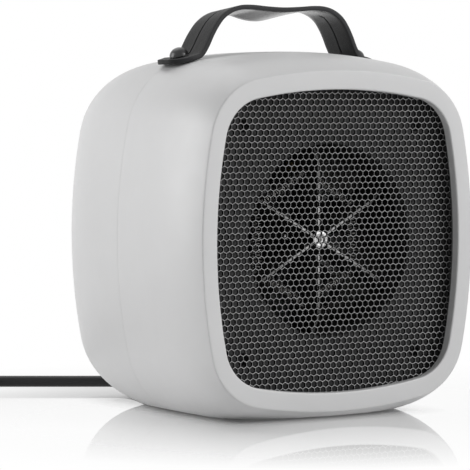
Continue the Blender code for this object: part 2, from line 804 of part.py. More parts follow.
def build_front_grille():
    """The dished sheet: a perforated plate bent to the dish, with its rim joined on."""
    grow = BEZEL_WALL - 2 * FIT_GAP
    flat = [(x, z - CENTRE_HEIGHT) for x, _, z in opening_ring(0, grow)]
    hole_radius = (MESH_HOLE_PITCH - MESH_WEB) / math.sqrt(3)
    row_pitch = MESH_HOLE_PITCH * math.sqrt(3) / 2
    columns = math.ceil(OPENING_HALF_WIDTH / MESH_HOLE_PITCH) + 1
    rows = math.ceil(OPENING_HALF_HEIGHT / row_pitch) + 1
    outlines = [flat]
    for row in range(-rows, rows + 1):
        for column in range(-columns, columns + 1):
            x = (column + (row % 2) / 2) * MESH_HOLE_PITCH
            z = row * row_pitch
            if clearance_inside(flat, x, z) > hole_radius + MESH_BORDER:
                hexagon = ring_of(hole_radius, HEXAGON_SIDES, math.pi / HEXAGON_SIDES)
                outlines.append([(x + dx, z + dz) for dx, dz in hexagon])
    sheet = flat_plate("front_grille", outlines, MESH_THICKNESS, black_steel())
    for vertex in sheet.data.vertices:
        x, z, out = vertex.co
        vertex.co = (x, at(mesh_dish(x, z) + MESH_THICKNESS / 2 - out), CENTRE_HEIGHT + z)
    start = BEZEL_WALL_DEPTH + FIT_GAP
    rim_outer = grow + FIT_GAP
    rim_inner = rim_outer - MESH_RIM_THICKNESS
    rim = loft(
        "grille_rim",
        [opening_ring(start, rim_outer), dished_ring(rim_outer, MESH_THICKNESS),
         dished_ring(rim_inner, MESH_THICKNESS), opening_ring(start, rim_inner)],
        black_steel(), closed=True, collection=CUTTERS,
    )
    cut(sheet, rim, "UNION")
    return sheet


def well_places():
    return [(sx * WELL_OFFSET_X, CENTRE_HEIGHT + sz * WELL_OFFSET_Z)
            for sx in (-1, 1) for sz in (-1, 1)]


def well_floor_depth():
    return BAFFLE_DEPTH + WELL_DEPTH


def post_start():
    """Depth at which the rear shell's posts meet the wells."""
    return well_floor_depth() + WELL_FLOOR + FIT_GAP


def build_baffle_plate():
    """Plate, collar and rim as one skin, with four screw wells joined on."""
    grow = BEZEL_WALL - FIT_GAP
    back = BAFFLE_DEPTH + BAFFLE_THICKNESS
    points = len(opening_ring(0, 0))

    def circle(radius, depth):
        return [(x, at(depth), CENTRE_HEIGHT + z) for x, z in ring_of(radius, points)]

    rings = [
        dished_ring(grow, MESH_THICKNESS + FIT_GAP),
        opening_ring(back, grow),
        circle(COLLAR_RADIUS + COLLAR_WALL, back),
        circle(COLLAR_RADIUS + COLLAR_WALL, back + COLLAR_LENGTH),
        circle(COLLAR_RADIUS, back + COLLAR_LENGTH),
        circle(COLLAR_RADIUS, BAFFLE_DEPTH),
        opening_ring(BAFFLE_DEPTH, grow - BAFFLE_RIM),
        dished_ring(grow - BAFFLE_RIM, MESH_THICKNESS + FIT_GAP),
    ]
    plate = loft("baffle_plate", rings, dark_plastic(), closed=True)
    for x, z in well_places():
        place = side_name(x) + ("_low" if z < CENTRE_HEIGHT else "_high")
        front = BAFFLE_DEPTH + BAFFLE_THICKNESS / 2
        barrel = rod("well_" + place, (x, at(front), z), (x, at(well_floor_depth() + WELL_FLOOR), z),
                     WELL_RADIUS + WELL_WALL, dark_plastic(), WELL_SIDES, collection=CUTTERS)
        cut(plate, barrel, "UNION")
        bore = rod("well_bore_" + place, (x, at(BAFFLE_DEPTH - CUT_OVERRUN), z),
                   (x, at(well_floor_depth()), z), WELL_RADIUS, dark_plastic(), WELL_SIDES,
                   collection=CUTTERS)
        cut(plate, bore)
        hole = rod("well_hole_" + place, (x, at(well_floor_depth() - CUT_OVERRUN), z),
                   (x, at(post_start() + CUT_OVERRUN), z), SCREW_RADIUS + FIT_GAP, dark_plastic(),
                   SCREW_SIDES, collection=CUTTERS)
        cut(plate, hole)
    return plate


def screw_at(name, place, axis, length):
    """A pan-head screw whose head seats at a place, its shank along an axis."""
    down = -Vector(axis).normalized()
    profile = [
        (0, SCREW_HEAD_HEIGHT), (SCREW_HEAD_RADIUS * 0.7, SCREW_HEAD_HEIGHT),
        (SCREW_HEAD_RADIUS, SCREW_HEAD_HEIGHT / 2), (SCREW_HEAD_RADIUS, 0),
        (SCREW_RADIUS, 0), (SCREW_RADIUS, -length + SCREW_RADIUS), (0, -length),
    ]
    return turned(name, profile, plain_steel(), place, down, SCREW_SIDES)


def build_housing_screws():
    length = WELL_FLOOR + SCREW_LENGTH - FIT_GAP
    for x, z in well_places():
        name = "housing_screw_" + side_name(x) + ("_low" if z < CENTRE_HEIGHT else "_high")
        screw_at(name, (x, at(well_floor_depth() - FIT_GAP), z), (0, 1, 0), length)


def duct_inner():
    return COLLAR_RADIUS + COLLAR_WALL + 2 * FIT_GAP


def duct_outer():
    return duct_inner() + DUCT_WALL


def build_air_duct():
    length = DUCT_END - DUCT_START
    profile = [
        (duct_outer(), length), (duct_outer(), DUCT_WALL),
        (duct_outer() + DUCT_FLANGE, DUCT_WALL), (duct_outer() + DUCT_FLANGE, 0),
        (duct_inner(), 0), (duct_inner(), length),
    ]
    duct = turned("air_duct", profile, plain_steel(), (0, at(DUCT_END), CENTRE_HEIGHT),
                  (0, -1, 0), DUCT_SIDES)
    for side in (-1, 1):
        x = side * bracket_reach()
        hole = rod("duct_hole_" + side_name(side), (x, at(DUCT_END - DUCT_WALL - CUT_OVERRUN), CENTRE_HEIGHT),
                   (x, at(DUCT_END + CUT_OVERRUN), CENTRE_HEIGHT), SCREW_RADIUS + FIT_GAP,
                   dark_plastic(), SCREW_SIDES, collection=CUTTERS)
        cut(duct, hole)
    return duct


def bracket_reach():
    """Distance of the bracket's screws from the fan axis."""
    return duct_outer() + DUCT_FLANGE / 2


def build_mica_frame():
    """Three crossing mica plates, each notched for the coil at both sides."""
    reach = duct_inner() - 2 * FIT_GAP
    half = [
        (reach, MICA_REAR), (reach, MICA_FRONT + MICA_SHOULDER_DROP),
        (MICA_SHOULDER_RADIUS, MICA_FRONT),
    ]
    outline = [(r, d) for r, d in half] + [(-r, d) for r, d in reversed(half)]
    crossing = COIL_CURL_RADIUS * math.cos(math.pi / ARM_COUNT) - COIL_CORNER_RUN / 2
    notch = crossing + COIL_WIRE_RADIUS + FIT_GAP
    holes = [[(side * COIL_RING_RADIUS + dx, COIL_DEPTH + dz) for dx, dz in ring_of(notch, WELL_SIDES)]
             for side in (-1, 1)]
    plates = []
    for i in range(ARM_COUNT // 2):
        collection = PARTS if i == 0 else CUTTERS
        name = "mica_frame" if i == 0 else "mica_plate_" + str(i)
        plate = flat_plate(name, [outline] + holes, MICA_THICKNESS, mica(), collection)
        turn = Matrix.Rotation(math.pi / 2 + math.pi * i / (ARM_COUNT // 2), 4, "Y")
        place = Matrix.Translation((0, FACE_Y, CENTRE_HEIGHT)) @ turn
        plate.data.transform(place)
        plates.append(plate)
    for other in plates[1:]:
        cut(plates[0], other, "UNION")
    return plates[0]


def build_element_hub():
    profile = [
        (HUB_RADIUS * 0.8, HUB_LENGTH), (HUB_RADIUS, HUB_LENGTH * 0.75), (HUB_RADIUS, 0),
        (HUB_BORE, 0), (HUB_BORE, HUB_LENGTH),
    ]
    return turned("element_hub", profile, plain_steel(),
                  (0, at(MICA_FRONT - FIT_GAP), CENTRE_HEIGHT), (0, -1, 0), WELL_SIDES)


def coil_corner(index):
    """A corner of the coil's hexagon in the XZ plane, the first one at the top."""
    angle = math.pi / 2 - math.tau * index / ARM_COUNT
    return Vector((COIL_RING_RADIUS * math.cos(angle), 0, COIL_RING_RADIUS * math.sin(angle)))


def build_heating_coil():
    """One unbroken wire: a curl wound round the six sides of a hexagon, open at the top."""
    centre = Vector((0, at(COIL_DEPTH), CENTRE_HEIGHT))
    back = Vector((0, 1, 0))
    points = []
    sides = ARM_COUNT
    for side in range(sides):
        start, end = coil_corner(side), coil_corner(side + 1)
        along = (end - start).normalized()
        outward = along.cross(back)
        if side == 0:
            start = start - along * COIL_CORNER_RUN
        if side == sides - 1:
            end = end + along * COIL_CORNER_RUN
        count = COIL_CURLS_PER_SIDE * COIL_POINTS_PER_CURL
        margin = along * COIL_CORNER_RUN
        first, last = start + margin, end - margin
        for i in range(count + 1):
            share = i / count
            turn = math.tau * COIL_CURLS_PER_SIDE * share
            radial = outward * math.cos(turn) + back * math.sin(turn)
            points.append(centre + first.lerp(last, share) + radial * COIL_CURL_RADIUS)
    lead_in = points[0] + back * COIL_TAIL
    lead_out = points[-1] + back * COIL_TAIL
    points = [lead_in] + points + [lead_out]
    print("heating coil least gap to itself", round(least_self_gap(points, COIL_WIRE_RADIUS), 5))
    return tube("heating_coil", points, COIL_WIRE_RADIUS, heating_wire(), 1), lead_in, lead_out


def least_self_gap(points, radius):
    """Least distance between a tube's surface and itself, leaving out close neighbours."""
    least = None
    travelled = [0.0]
    for near, far in zip(points, points[1:]):
        travelled.append(travelled[-1] + (far - near).length)
    for i, point in enumerate(points):
        for j in range(i + 1, len(points)):
            if travelled[j] - travelled[i] > 4 * math.pi * radius:
                gap = (points[j] - point).length - 2 * radius
                least = gap if least is None else min(least, gap)
    return least


def build_element_terminals(leads):
    """Two brass tabs behind the coil's leads."""
    for lead in leads:
        low = lead + Vector((-TERMINAL_THICKNESS / 2, FIT_GAP, -TERMINAL_SIZE / 2))
        high = lead + Vector((TERMINAL_THICKNESS / 2, FIT_GAP + TERMINAL_LENGTH, TERMINAL_SIZE / 2))
        block("element_terminal_" + side_name(lead.x), low, high, brass())


def build_thermal_cutout():
    """A disc thermostat on top of the duct with two tabs."""
    base = CENTRE_HEIGHT + duct_outer() + FIT_GAP
    body = rod("thermal_cutout", (0, at(CUTOUT_DEPTH), base),
               (0, at(CUTOUT_DEPTH), base + CUTOUT_HEIGHT), CUTOUT_RADIUS, dark_plastic(), WELL_SIDES)
    for side in (-1, 1):
        inner, outer = sorted((side * CUTOUT_RADIUS / 2, side * (CUTOUT_RADIUS + CUTOUT_TAB_LENGTH)))
        low = (inner, at(CUTOUT_DEPTH) - CUTOUT_TAB_WIDTH / 2, base + CUTOUT_HEIGHT / 2)
        high = (outer, at(CUTOUT_DEPTH) + CUTOUT_TAB_WIDTH / 2,
                base + CUTOUT_HEIGHT / 2 + CUTOUT_TAB_THICKNESS)
        tab = block("cutout_tab_" + side_name(side), low, high, brass(), CUTTERS)
        cut(body, tab, "UNION")
    return body


def build_thermal_fuse():
    angle = math.radians(FUSE_TURN)
    away = duct_outer() + FIT_GAP + FUSE_RADIUS
    x, z = away * math.sin(angle), CENTRE_HEIGHT + away * math.cos(angle)
    near = (x, at(CUTOUT_DEPTH) - FUSE_LENGTH / 2, z)
    far = (x, at(CUTOUT_DEPTH) + FUSE_LENGTH / 2, z)
    return rod("thermal_fuse", near, far, FUSE_RADIUS, plain_steel(), FOOT_SIDES)


def build_fan_impeller():
    """A cupped hub with curved, pitched blades joined to it."""
    front = FAN_HUB_LENGTH / 2
    bore = SHAFT_RADIUS + FIT_GAP
    profile = [
        (FAN_HUB_RADIUS - FAN_HUB_ROUND, front), (FAN_HUB_RADIUS - FAN_HUB_ROUND * 0.3, front - FAN_HUB_ROUND * 0.3),
        (FAN_HUB_RADIUS, front - FAN_HUB_ROUND), (FAN_HUB_RADIUS, -front),
        (FAN_HUB_RADIUS - FAN_HUB_WALL, -front), (FAN_HUB_RADIUS - FAN_HUB_WALL, front - 2 * FAN_HUB_ROUND),
        (2 * bore, front - 2 * FAN_HUB_ROUND), (2 * bore, -front / 2), (bore, -front / 2), (bore, front),
    ]
    centre = (0, at(FAN_DEPTH), CENTRE_HEIGHT)
    hub = turned("fan_impeller", profile, dark_plastic(), centre, (0, -1, 0), 2 * WELL_SIDES)
    blades = [blade(i) for i in range(FAN_BLADES)]
    blades = joined("fan_blades", blades, dark_plastic(), CUTTERS)
    cut(hub, blades, "UNION")
    return hub


def blade(index):
    """One closed blade: a grid of spans by chord stations, thickened."""
    spans, stations = 4, 4
    root = FAN_HUB_RADIUS - FAN_HUB_WALL / 2
    rows = []
    for i in range(spans + 1):
        share = i / spans
        radius = root + (FAN_RADIUS - root) * share
        chord = BLADE_ROOT_CHORD + (BLADE_TIP_CHORD - BLADE_ROOT_CHORD) * share
        pitch = math.radians(BLADE_ROOT_PITCH + (BLADE_TIP_PITCH - BLADE_ROOT_PITCH) * share)
        row = []
        for k in range(stations + 1):
            place = k / stations - 1 / 2
            bow = BLADE_CAMBER * (1 - (2 * place) ** 2)
            around = chord * place * math.cos(pitch) / radius
            lift = chord * place * math.sin(pitch) + bow
            angle = math.tau * index / FAN_BLADES + around
            row.append((radius, angle, lift))
        rows.append(row)
    work = bmesh.new()
    layers = []
    for offset in (-BLADE_THICKNESS / 2, BLADE_THICKNESS / 2):
        layer = [[work.verts.new((r * math.sin(a), at(FAN_DEPTH) + lift + offset,
                                  CENTRE_HEIGHT + r * math.cos(a))) for r, a, lift in row]
                 for row in rows]
        layers.append(layer)
    for layer in layers:
        for i in range(spans):
            for k in range(stations):
                work.faces.new((layer[i][k], layer[i + 1][k], layer[i + 1][k + 1], layer[i][k + 1]))
    low, high = layers
    border = [(i, 0) for i in range(spans)] + [(spans, k) for k in range(stations)]
    border += [(i, stations) for i in range(spans, 0, -1)] + [(0, k) for k in range(stations, 0, -1)]
    for (i, k), (m, n) in zip(border, border[1:] + border[:1]):
        work.faces.new((low[i][k], low[m][n], high[m][n], high[i][k]))
    return mesh_from("blade_" + str(index), work, dark_plastic(), collection=CUTTERS)


def build_motor_shaft():
    return rod("motor_shaft", (0, at(SHAFT_START), CENTRE_HEIGHT), (0, at(SHAFT_END), CENTRE_HEIGHT),
               SHAFT_RADIUS, plain_steel(), FOOT_SIDES)


def bracket_depth():
    return DUCT_END + FIT_GAP


def front_bridge_depth():
    return bracket_depth() + BRACKET_THICKNESS + FIT_GAP


def stack_depth():
    return front_bridge_depth() + BRIDGE_LENGTH + FIT_GAP


def rear_bridge_depth():
    return stack_depth() + STACK_THICKNESS + FIT_GAP


def build_motor_bracket():
    """A steel strip across the duct's end, holed for the shaft and the screws."""
    reach = bracket_reach() + DUCT_FLANGE / 2
    strip = block("motor_bracket", (-reach, at(bracket_depth()), CENTRE_HEIGHT - BRACKET_WIDTH / 2),
                  (reach, at(bracket_depth() + BRACKET_THICKNESS), CENTRE_HEIGHT + BRACKET_WIDTH / 2),
                  plain_steel())
    holes = [(0, 2 * SHAFT_RADIUS)]
    for side in (-1, 1):
        holes.append((side * bracket_reach(), SCREW_RADIUS + FIT_GAP))
        holes.append((side * MOTOR_SCREW_OFFSET, SCREW_RADIUS + FIT_GAP))
    for i, (x, radius) in enumerate(holes):
        cutter = rod("bracket_hole_" + str(i), (x, at(bracket_depth() - CUT_OVERRUN), CENTRE_HEIGHT),
                     (x, at(bracket_depth() + BRACKET_THICKNESS + CUT_OVERRUN), CENTRE_HEIGHT),
                     radius, dark_plastic(), SCREW_SIDES, collection=CUTTERS)
        cut(strip, cutter)
    return strip


def build_bracket_screws():
    for side in (-1, 1):
        place = (side * bracket_reach(), at(bracket_depth() + BRACKET_THICKNESS + FIT_GAP), CENTRE_HEIGHT)
        screw_at("bracket_screw_" + side_name(side), place, (0, -1, 0), BRACKET_SCREW_LENGTH)


def bridge(name, near, toward):
    """A bearing bridge: a bar over the rotor with two legs that seat on the stack."""
    bar_near, bar_far = sorted((near, near + toward * BRIDGE_THICKNESS))
    leg_near, leg_far = sorted((near, near + toward * BRIDGE_LENGTH))
    bar = block(name, (-BRIDGE_HALF_SPAN, at(bar_near), CENTRE_HEIGHT - BRIDGE_WIDTH / 2),
                (BRIDGE_HALF_SPAN, at(bar_far), CENTRE_HEIGHT + BRIDGE_WIDTH / 2), plain_steel())
    for side in (-1, 1):
        inner, outer = sorted((side * (BRIDGE_HALF_SPAN - BRIDGE_THICKNESS), side * BRIDGE_HALF_SPAN))
        leg = block(name + "_leg_" + side_name(side), (inner, at(leg_near), CENTRE_HEIGHT - BRIDGE_WIDTH / 2),
                    (outer, at(leg_far), CENTRE_HEIGHT + BRIDGE_WIDTH / 2), plain_steel(), CUTTERS)
        cut(bar, leg, "UNION")
    bore = rod(name + "_bore", (0, at(bar_near - CUT_OVERRUN), CENTRE_HEIGHT),
               (0, at(bar_far + CUT_OVERRUN), CENTRE_HEIGHT), SHAFT_RADIUS + FIT_GAP,
               plain_steel(), FOOT_SIDES, collection=CUTTERS)
    cut(bar, bore)
    return bar


def build_motor_bridges():
    front = bridge("motor_bridge_front", front_bridge_depth(), 1)
    rear = bridge("motor_bridge_rear", rear_bridge_depth() + BRIDGE_LENGTH, -1)
    for side in (-1, 1):
        x = side * MOTOR_SCREW_OFFSET
        hole = rod("bridge_hole_" + side_name(side), (x, at(front_bridge_depth() - CUT_OVERRUN), CENTRE_HEIGHT),
                   (x, at(front_bridge_depth() + BRIDGE_THICKNESS + CUT_OVERRUN), CENTRE_HEIGHT),
                   SCREW_RADIUS + FIT_GAP, plain_steel(), SCREW_SIDES, collection=CUTTERS)
        cut(front, hole)
    return front, rear


def build_motor_screws():
    """Two short screws through the bracket into the front bridge."""
    length = BRACKET_THICKNESS + BRIDGE_THICKNESS + 2 * FIT_GAP
    for side in (-1, 1):
        place = (side * MOTOR_SCREW_OFFSET, at(bracket_depth() - FIT_GAP), CENTRE_HEIGHT)
        screw_at("motor_screw_" + side_name(side), place, (0, 1, 0), length)


def build_motor_stack():
    """The laminated core: a plate with the rotor's bore and the winding's window."""
    outline = [(-STACK_HALF_WIDTH, -STACK_BELOW), (STACK_HALF_WIDTH, -STACK_BELOW),
               (STACK_HALF_WIDTH, STACK_ABOVE), (-STACK_HALF_WIDTH, STACK_ABOVE)]
    window = [(-WINDOW_HALF_WIDTH, WINDOW_LOW), (WINDOW_HALF_WIDTH, WINDOW_LOW),
              (WINDOW_HALF_WIDTH, WINDOW_HIGH), (-WINDOW_HALF_WIDTH, WINDOW_HIGH)]
    bore = ring_of(ROTOR_RADIUS + RUNNING_GAP, 2 * WELL_SIDES)
    stack = flat_plate("motor_stack", [outline, bore, window], STACK_THICKNESS, plain_steel())
    middle = stack_depth() + STACK_THICKNESS / 2
    turn = Matrix.Rotation(math.pi / 2, 4, "X")
    stack.data.transform(Matrix.Translation((0, at(middle), CENTRE_HEIGHT)) @ turn)
    return stack


def build_motor_rotor():
    """The rotor, bored for the shaft."""
    bore = SHAFT_RADIUS + FIT_GAP
    profile = [(ROTOR_RADIUS, STACK_THICKNESS), (ROTOR_RADIUS, 0), (bore, 0), (bore, STACK_THICKNESS)]
    return turned("motor_rotor", profile, plain_steel(), (0, at(rear_bridge_depth() - FIT_GAP), CENTRE_HEIGHT),
                  (0, -1, 0), 2 * WELL_SIDES)


def build_motor_winding():
    """A bobbin coil round the core's top bar."""
    middle = stack_depth() + STACK_THICKNESS / 2
    bar_half = STACK_THICKNESS / 2 + FIT_GAP
    low, high = WINDOW_HIGH - FIT_GAP, STACK_ABOVE + FIT_GAP

    def rectangle(x, grow):
        return [(x, at(middle + sy * (bar_half + grow)), CENTRE_HEIGHT + (high + grow if top else low - grow))
                for sy, top in ((-1, False), (1, False), (1, True), (-1, True))]

    half = WINDING_HALF_LENGTH
    rings = [rectangle(-half, WINDING_BUILD), rectangle(half, WINDING_BUILD),
             rectangle(half, 0), rectangle(-half, 0)]
    return loft("motor_winding", rings, copper_winding(), closed=True)


def switch_height():
    return CENTRE_HEIGHT + SWITCH_RISE


def rear_face():
    return at(CASING_DEPTH)


def switch_box(name, grow, front, back, finish, collection=None):
    z = switch_height()
    return block(name, (-SWITCH_HALF_WIDTH - grow, front, z - SWITCH_HALF_HEIGHT - grow),
                 (SWITCH_HALF_WIDTH + grow, back, z + SWITCH_HALF_HEIGHT + grow), finish, collection)


def switch_hole():
    return switch_box("switch_hole", FIT_GAP, rear_face() - WALL - CUT_OVERRUN,
                      rear_face() + CUT_OVERRUN, dark_plastic(), CUTTERS)


def build_switch_housing():
    """A box through the rear wall with a flange outside and a pocket for the rocker."""
    front = rear_face() - WALL - SWITCH_BODY_LENGTH
    body = switch_box("switch_housing", 0, front, rear_face() + FIT_GAP + SWITCH_FLANGE_THICKNESS,
                      dark_plastic())
    flange = switch_box("switch_flange", SWITCH_FLANGE, rear_face() + FIT_GAP,
                        rear_face() + FIT_GAP + SWITCH_FLANGE_THICKNESS, dark_plastic(), CUTTERS)
    cut(body, flange, "UNION")
    pocket = switch_box("switch_pocket", -SWITCH_WALL, rear_face() - ROCKER_KEEL - 2 * SWITCH_WALL,
                        rear_face() + CUT_OVERRUN + SWITCH_FLANGE_THICKNESS, dark_plastic(), CUTTERS)
    cut(body, pocket)
    return body


def build_switch_rocker():
    """The rocker, tipped to its off side, with its origin on its pivot."""
    half_width = SWITCH_HALF_WIDTH - SWITCH_WALL - FIT_GAP
    profile = [
        (-ROCKER_HALF_LENGTH, ROCKER_HALF_DEPTH), (0, ROCKER_WAIST), (ROCKER_HALF_LENGTH, ROCKER_HALF_DEPTH),
        (ROCKER_HALF_LENGTH, -ROCKER_WAIST), (ROCKER_HALF_LENGTH / 2, -ROCKER_KEEL),
        (-ROCKER_HALF_LENGTH / 2, -ROCKER_KEEL), (-ROCKER_HALF_LENGTH, -ROCKER_WAIST),
    ]
    rings = [[(x, depth, up) for up, depth in profile] for x in (-half_width, half_width)]
    rocker = loft("switch_rocker", rings, dark_plastic())
    rocker.location = (0, rear_face() + ROCKER_PIVOT_DEPTH, switch_height())
    rocker.rotation_euler = (math.radians(ROCKER_TILT), 0, 0)
    return rocker


def build_tip_switch():
    """A housing on the rear shell's floor and the sprung plunger in it, pressed in."""
    floor = floor_under(0, TIP_DEPTH, TIP_HALF_WIDTH, TIP_HALF_DEPTH)
    body = block("tip_switch_housing", (-TIP_HALF_WIDTH, at(TIP_DEPTH) - TIP_HALF_DEPTH, floor),
                 (TIP_HALF_WIDTH, at(TIP_DEPTH) + TIP_HALF_DEPTH, floor + TIP_HEIGHT), dark_plastic())
    guide = rod("tip_guide", (0, at(TIP_DEPTH), floor - CUT_OVERRUN),
                (0, at(TIP_DEPTH), floor + TIP_WALL + CUT_OVERRUN), PLUNGER_RADIUS + FIT_GAP,
                dark_plastic(), FOOT_SIDES, collection=CUTTERS)
    chamber = rod("tip_chamber", (0, at(TIP_DEPTH), floor + TIP_WALL),
                  (0, at(TIP_DEPTH), floor + TIP_HEIGHT - TIP_WALL), PLUNGER_COLLAR + FIT_GAP,
                  dark_plastic(), FOOT_SIDES, collection=CUTTERS)
    cut(body, guide)
    cut(body, chamber)
    collar = floor + TIP_WALL + PLUNGER_TRAVEL + FIT_GAP
    top = collar + PLUNGER_COLLAR_HEIGHT
    profile = [
        (0, top), (PLUNGER_COLLAR, top), (PLUNGER_COLLAR, collar), (PLUNGER_RADIUS, collar),
        (PLUNGER_RADIUS, PLUNGER_TIP_HEIGHT + PLUNGER_RADIUS / 2),
        (PLUNGER_RADIUS / 2, PLUNGER_TIP_HEIGHT), (0, PLUNGER_TIP_HEIGHT),
    ]
    plunger = turned("tip_plunger", profile, dark_plastic(), (0, at(TIP_DEPTH), 0), (0, 0, 1), FOOT_SIDES)
    return body, plunger


def block_floor():
    return floor_under(BLOCK_OFFSET_X, BLOCK_DEPTH, BLOCK_HALF_LENGTH, BLOCK_HALF_WIDTH)


def build_terminal_block():
    floor = block_floor()
    return block("terminal_block", (BLOCK_OFFSET_X - BLOCK_HALF_LENGTH, at(BLOCK_DEPTH) - BLOCK_HALF_WIDTH, floor),
                 (BLOCK_OFFSET_X + BLOCK_HALF_LENGTH, at(BLOCK_DEPTH) + BLOCK_HALF_WIDTH, floor + BLOCK_HEIGHT),
                 mica())


def build_wires(leads):
    """Inner wires, each a stretch from one connection to the next."""
    block_top = block_floor() + BLOCK_HEIGHT + FIT_GAP + WIRE_RADIUS
    side = duct_outer() + DUCT_FLANGE + POST_RADIUS
    switch_front = rear_face() - WALL - SWITCH_BODY_LENGTH - FIT_GAP
    z_cut = CENTRE_HEIGHT + duct_outer() + FIT_GAP + CUTOUT_HEIGHT / 2 + CUTOUT_TAB_THICKNESS / 2
    x_cut = CUTOUT_RADIUS + CUTOUT_TAB_LENGTH + FIT_GAP
    live = [
        (BLOCK_OFFSET_X, at(BLOCK_DEPTH), block_top - WIRE_RADIUS),
        (BLOCK_OFFSET_X, at(BLOCK_DEPTH), block_top + 4 * WIRE_RADIUS),
        (-side / 2, at(BLOCK_DEPTH), CENTRE_HEIGHT - STACK_ABOVE),
        (-side * 0.75, at(BLOCK_DEPTH), CENTRE_HEIGHT),
        (-side / 2, at(BLOCK_DEPTH), CENTRE_HEIGHT + STACK_ABOVE),
        (-SWITCH_HALF_WIDTH / 2, switch_front - CUTOUT_RADIUS, switch_height()),
        (-SWITCH_HALF_WIDTH / 2, switch_front, switch_height()),
    ]
    switched = [
        (SWITCH_HALF_WIDTH / 2, switch_front, switch_height()),
        (SWITCH_HALF_WIDTH / 2, switch_front - SWITCH_BODY_LENGTH / 2, switch_height()),
        (x_cut, at(DUCT_END + DUCT_FLANGE), CENTRE_HEIGHT + duct_outer() + 2 * CUTOUT_HEIGHT),
        (x_cut + CUTOUT_HEIGHT, at(DUCT_END - CUTOUT_HEIGHT), z_cut + CUTOUT_HEIGHT),
        (x_cut + CUTOUT_HEIGHT, at(CUTOUT_DEPTH) + CUTOUT_HEIGHT, z_cut + WIRE_RADIUS),
        (x_cut + CUTOUT_HEIGHT, at(CUTOUT_DEPTH), z_cut),
        (x_cut, at(CUTOUT_DEPTH), z_cut),
    ]
    tubes = []
    for name, route in (("wire_live", live), ("wire_switched", switched)):
        points = smooth_path(route, 3)
        tubes.append(tube(name, points, WIRE_RADIUS, copper_winding(), 1))
    return tubes


def build_foot(x, depth):
    """A push-in rubber foot: pad, stem through the floor and barb above it."""
    name = "foot_" + ("front_" if depth < SEAM_DEPTH else "rear_") + side_name(x)
    pad_top = UNDERSIDE_HEIGHT - FIT_GAP
    barb = floor_under(x, depth, FOOT_BARB_RADIUS, FOOT_BARB_RADIUS)
    profile = [
        (0, barb + FOOT_BARB_HEIGHT), (FOOT_STEM_RADIUS, barb + FOOT_BARB_HEIGHT),
        (FOOT_BARB_RADIUS, barb), (FOOT_STEM_RADIUS, barb), (FOOT_STEM_RADIUS, pad_top),
        (FOOT_RADIUS, pad_top), (FOOT_RADIUS, pad_top / 2), (FOOT_RADIUS - pad_top / 2, 0), (0, 0),
    ]
    return turned(name, profile, black_rubber(), (x, at(depth), 0), (0, 0, 1), FOOT_SIDES)


def strap_seat(x):
    """Point of the casing's top under the strap and the direction into the casing."""
    step = WASHER_RADIUS
    rise = casing_top(x + step, STRAP_DEPTH) - casing_top(x - step, STRAP_DEPTH)
    down = Vector((rise, 0, -2 * step)).normalized()
    return Vector((x, at(STRAP_DEPTH), casing_top(x, STRAP_DEPTH))), down


def strap_line():
    """The strap's middle layer from its left tip to its right one, as X and Z."""
    foot = RIVET_OFFSET - STRAP_FOOT_MARGIN
    places = [(share_x * foot, share_z) for share_x, share_z in STRAP_ARCH_SHARES]
    places += [(RIVET_OFFSET + share_x * RIVET_MARGIN, share_z) for share_x, share_z in STRAP_END_SHARES]
    half = []
    for x, share_z in places:
        top, down = strap_seat(x)
        seated = top - (STRAP_SEAT_GAP + STRAP_THICKNESS / 2) * down
        half.append((seated.x, seated.z + share_z * STRAP_RISE, share_z * STRAP_LEAN))
    whole = [(lean - x, 0, z) for x, z, lean in reversed(half)] + [
        (lean + x, 0, z) for x, z, lean in half[1:]
    ]
    return smooth_path(whole, 2)


def build_handle_strap():
    """A grid across the strap at each place along it, thickened by Solidify."""
    line = strap_line()
    across = (-1.0, 0.0, 1.0)
    travelled = [0.0]
    for near, far in zip(line, line[1:]):
        travelled.append(travelled[-1] + (far - near).length)
    work = bmesh.new()
    rows = []
    for i, place in enumerate(line):
        from_tip = min(travelled[i], travelled[-1] - travelled[i])
        short = max(STRAP_END_ROUND - from_tip, 0)
        drawn_in = STRAP_END_ROUND - math.sqrt(STRAP_END_ROUND ** 2 - short ** 2)
        half = STRAP_WIDTH / 2 - drawn_in
        reach = STRAP_HALF_LENGTH * STRAP_DROOP_REACH_SHARE
        droop = STRAP_DROOP * math.cos(place.x / reach * math.pi / 2) ** 2 if abs(place.x) < reach else 0
        row = []
        for share in across:
            z = place.z - droop * (share + 1) / 2
            row.append(work.verts.new((place.x, at(STRAP_DEPTH) + share * half, z)))
        rows.append(row)
    for near, far in zip(rows, rows[1:]):
        for k in range(len(across) - 1):
            work.faces.new((near[k], far[k], far[k + 1], near[k + 1]))
    strap = mesh_from("handle_strap", work, strap_leather(), 60)
    thicken = strap.modifiers.new("thickness", "SOLIDIFY")
    thicken.thickness = STRAP_THICKNESS
    thicken.offset = 0
    thicken.use_even_offset = True
    for side in (-1, 1):
        top, down = strap_seat(side * RIVET_OFFSET)
        hole = rod("strap_hole_" + side_name(side), top - down * 3 * STRAP_THICKNESS,
                   top + down * CUT_OVERRUN, RIVET_RADIUS + FIT_GAP, dark_plastic(), RIVET_SIDES,
                   collection=CUTTERS)
        cut(strap, hole)
    return strap


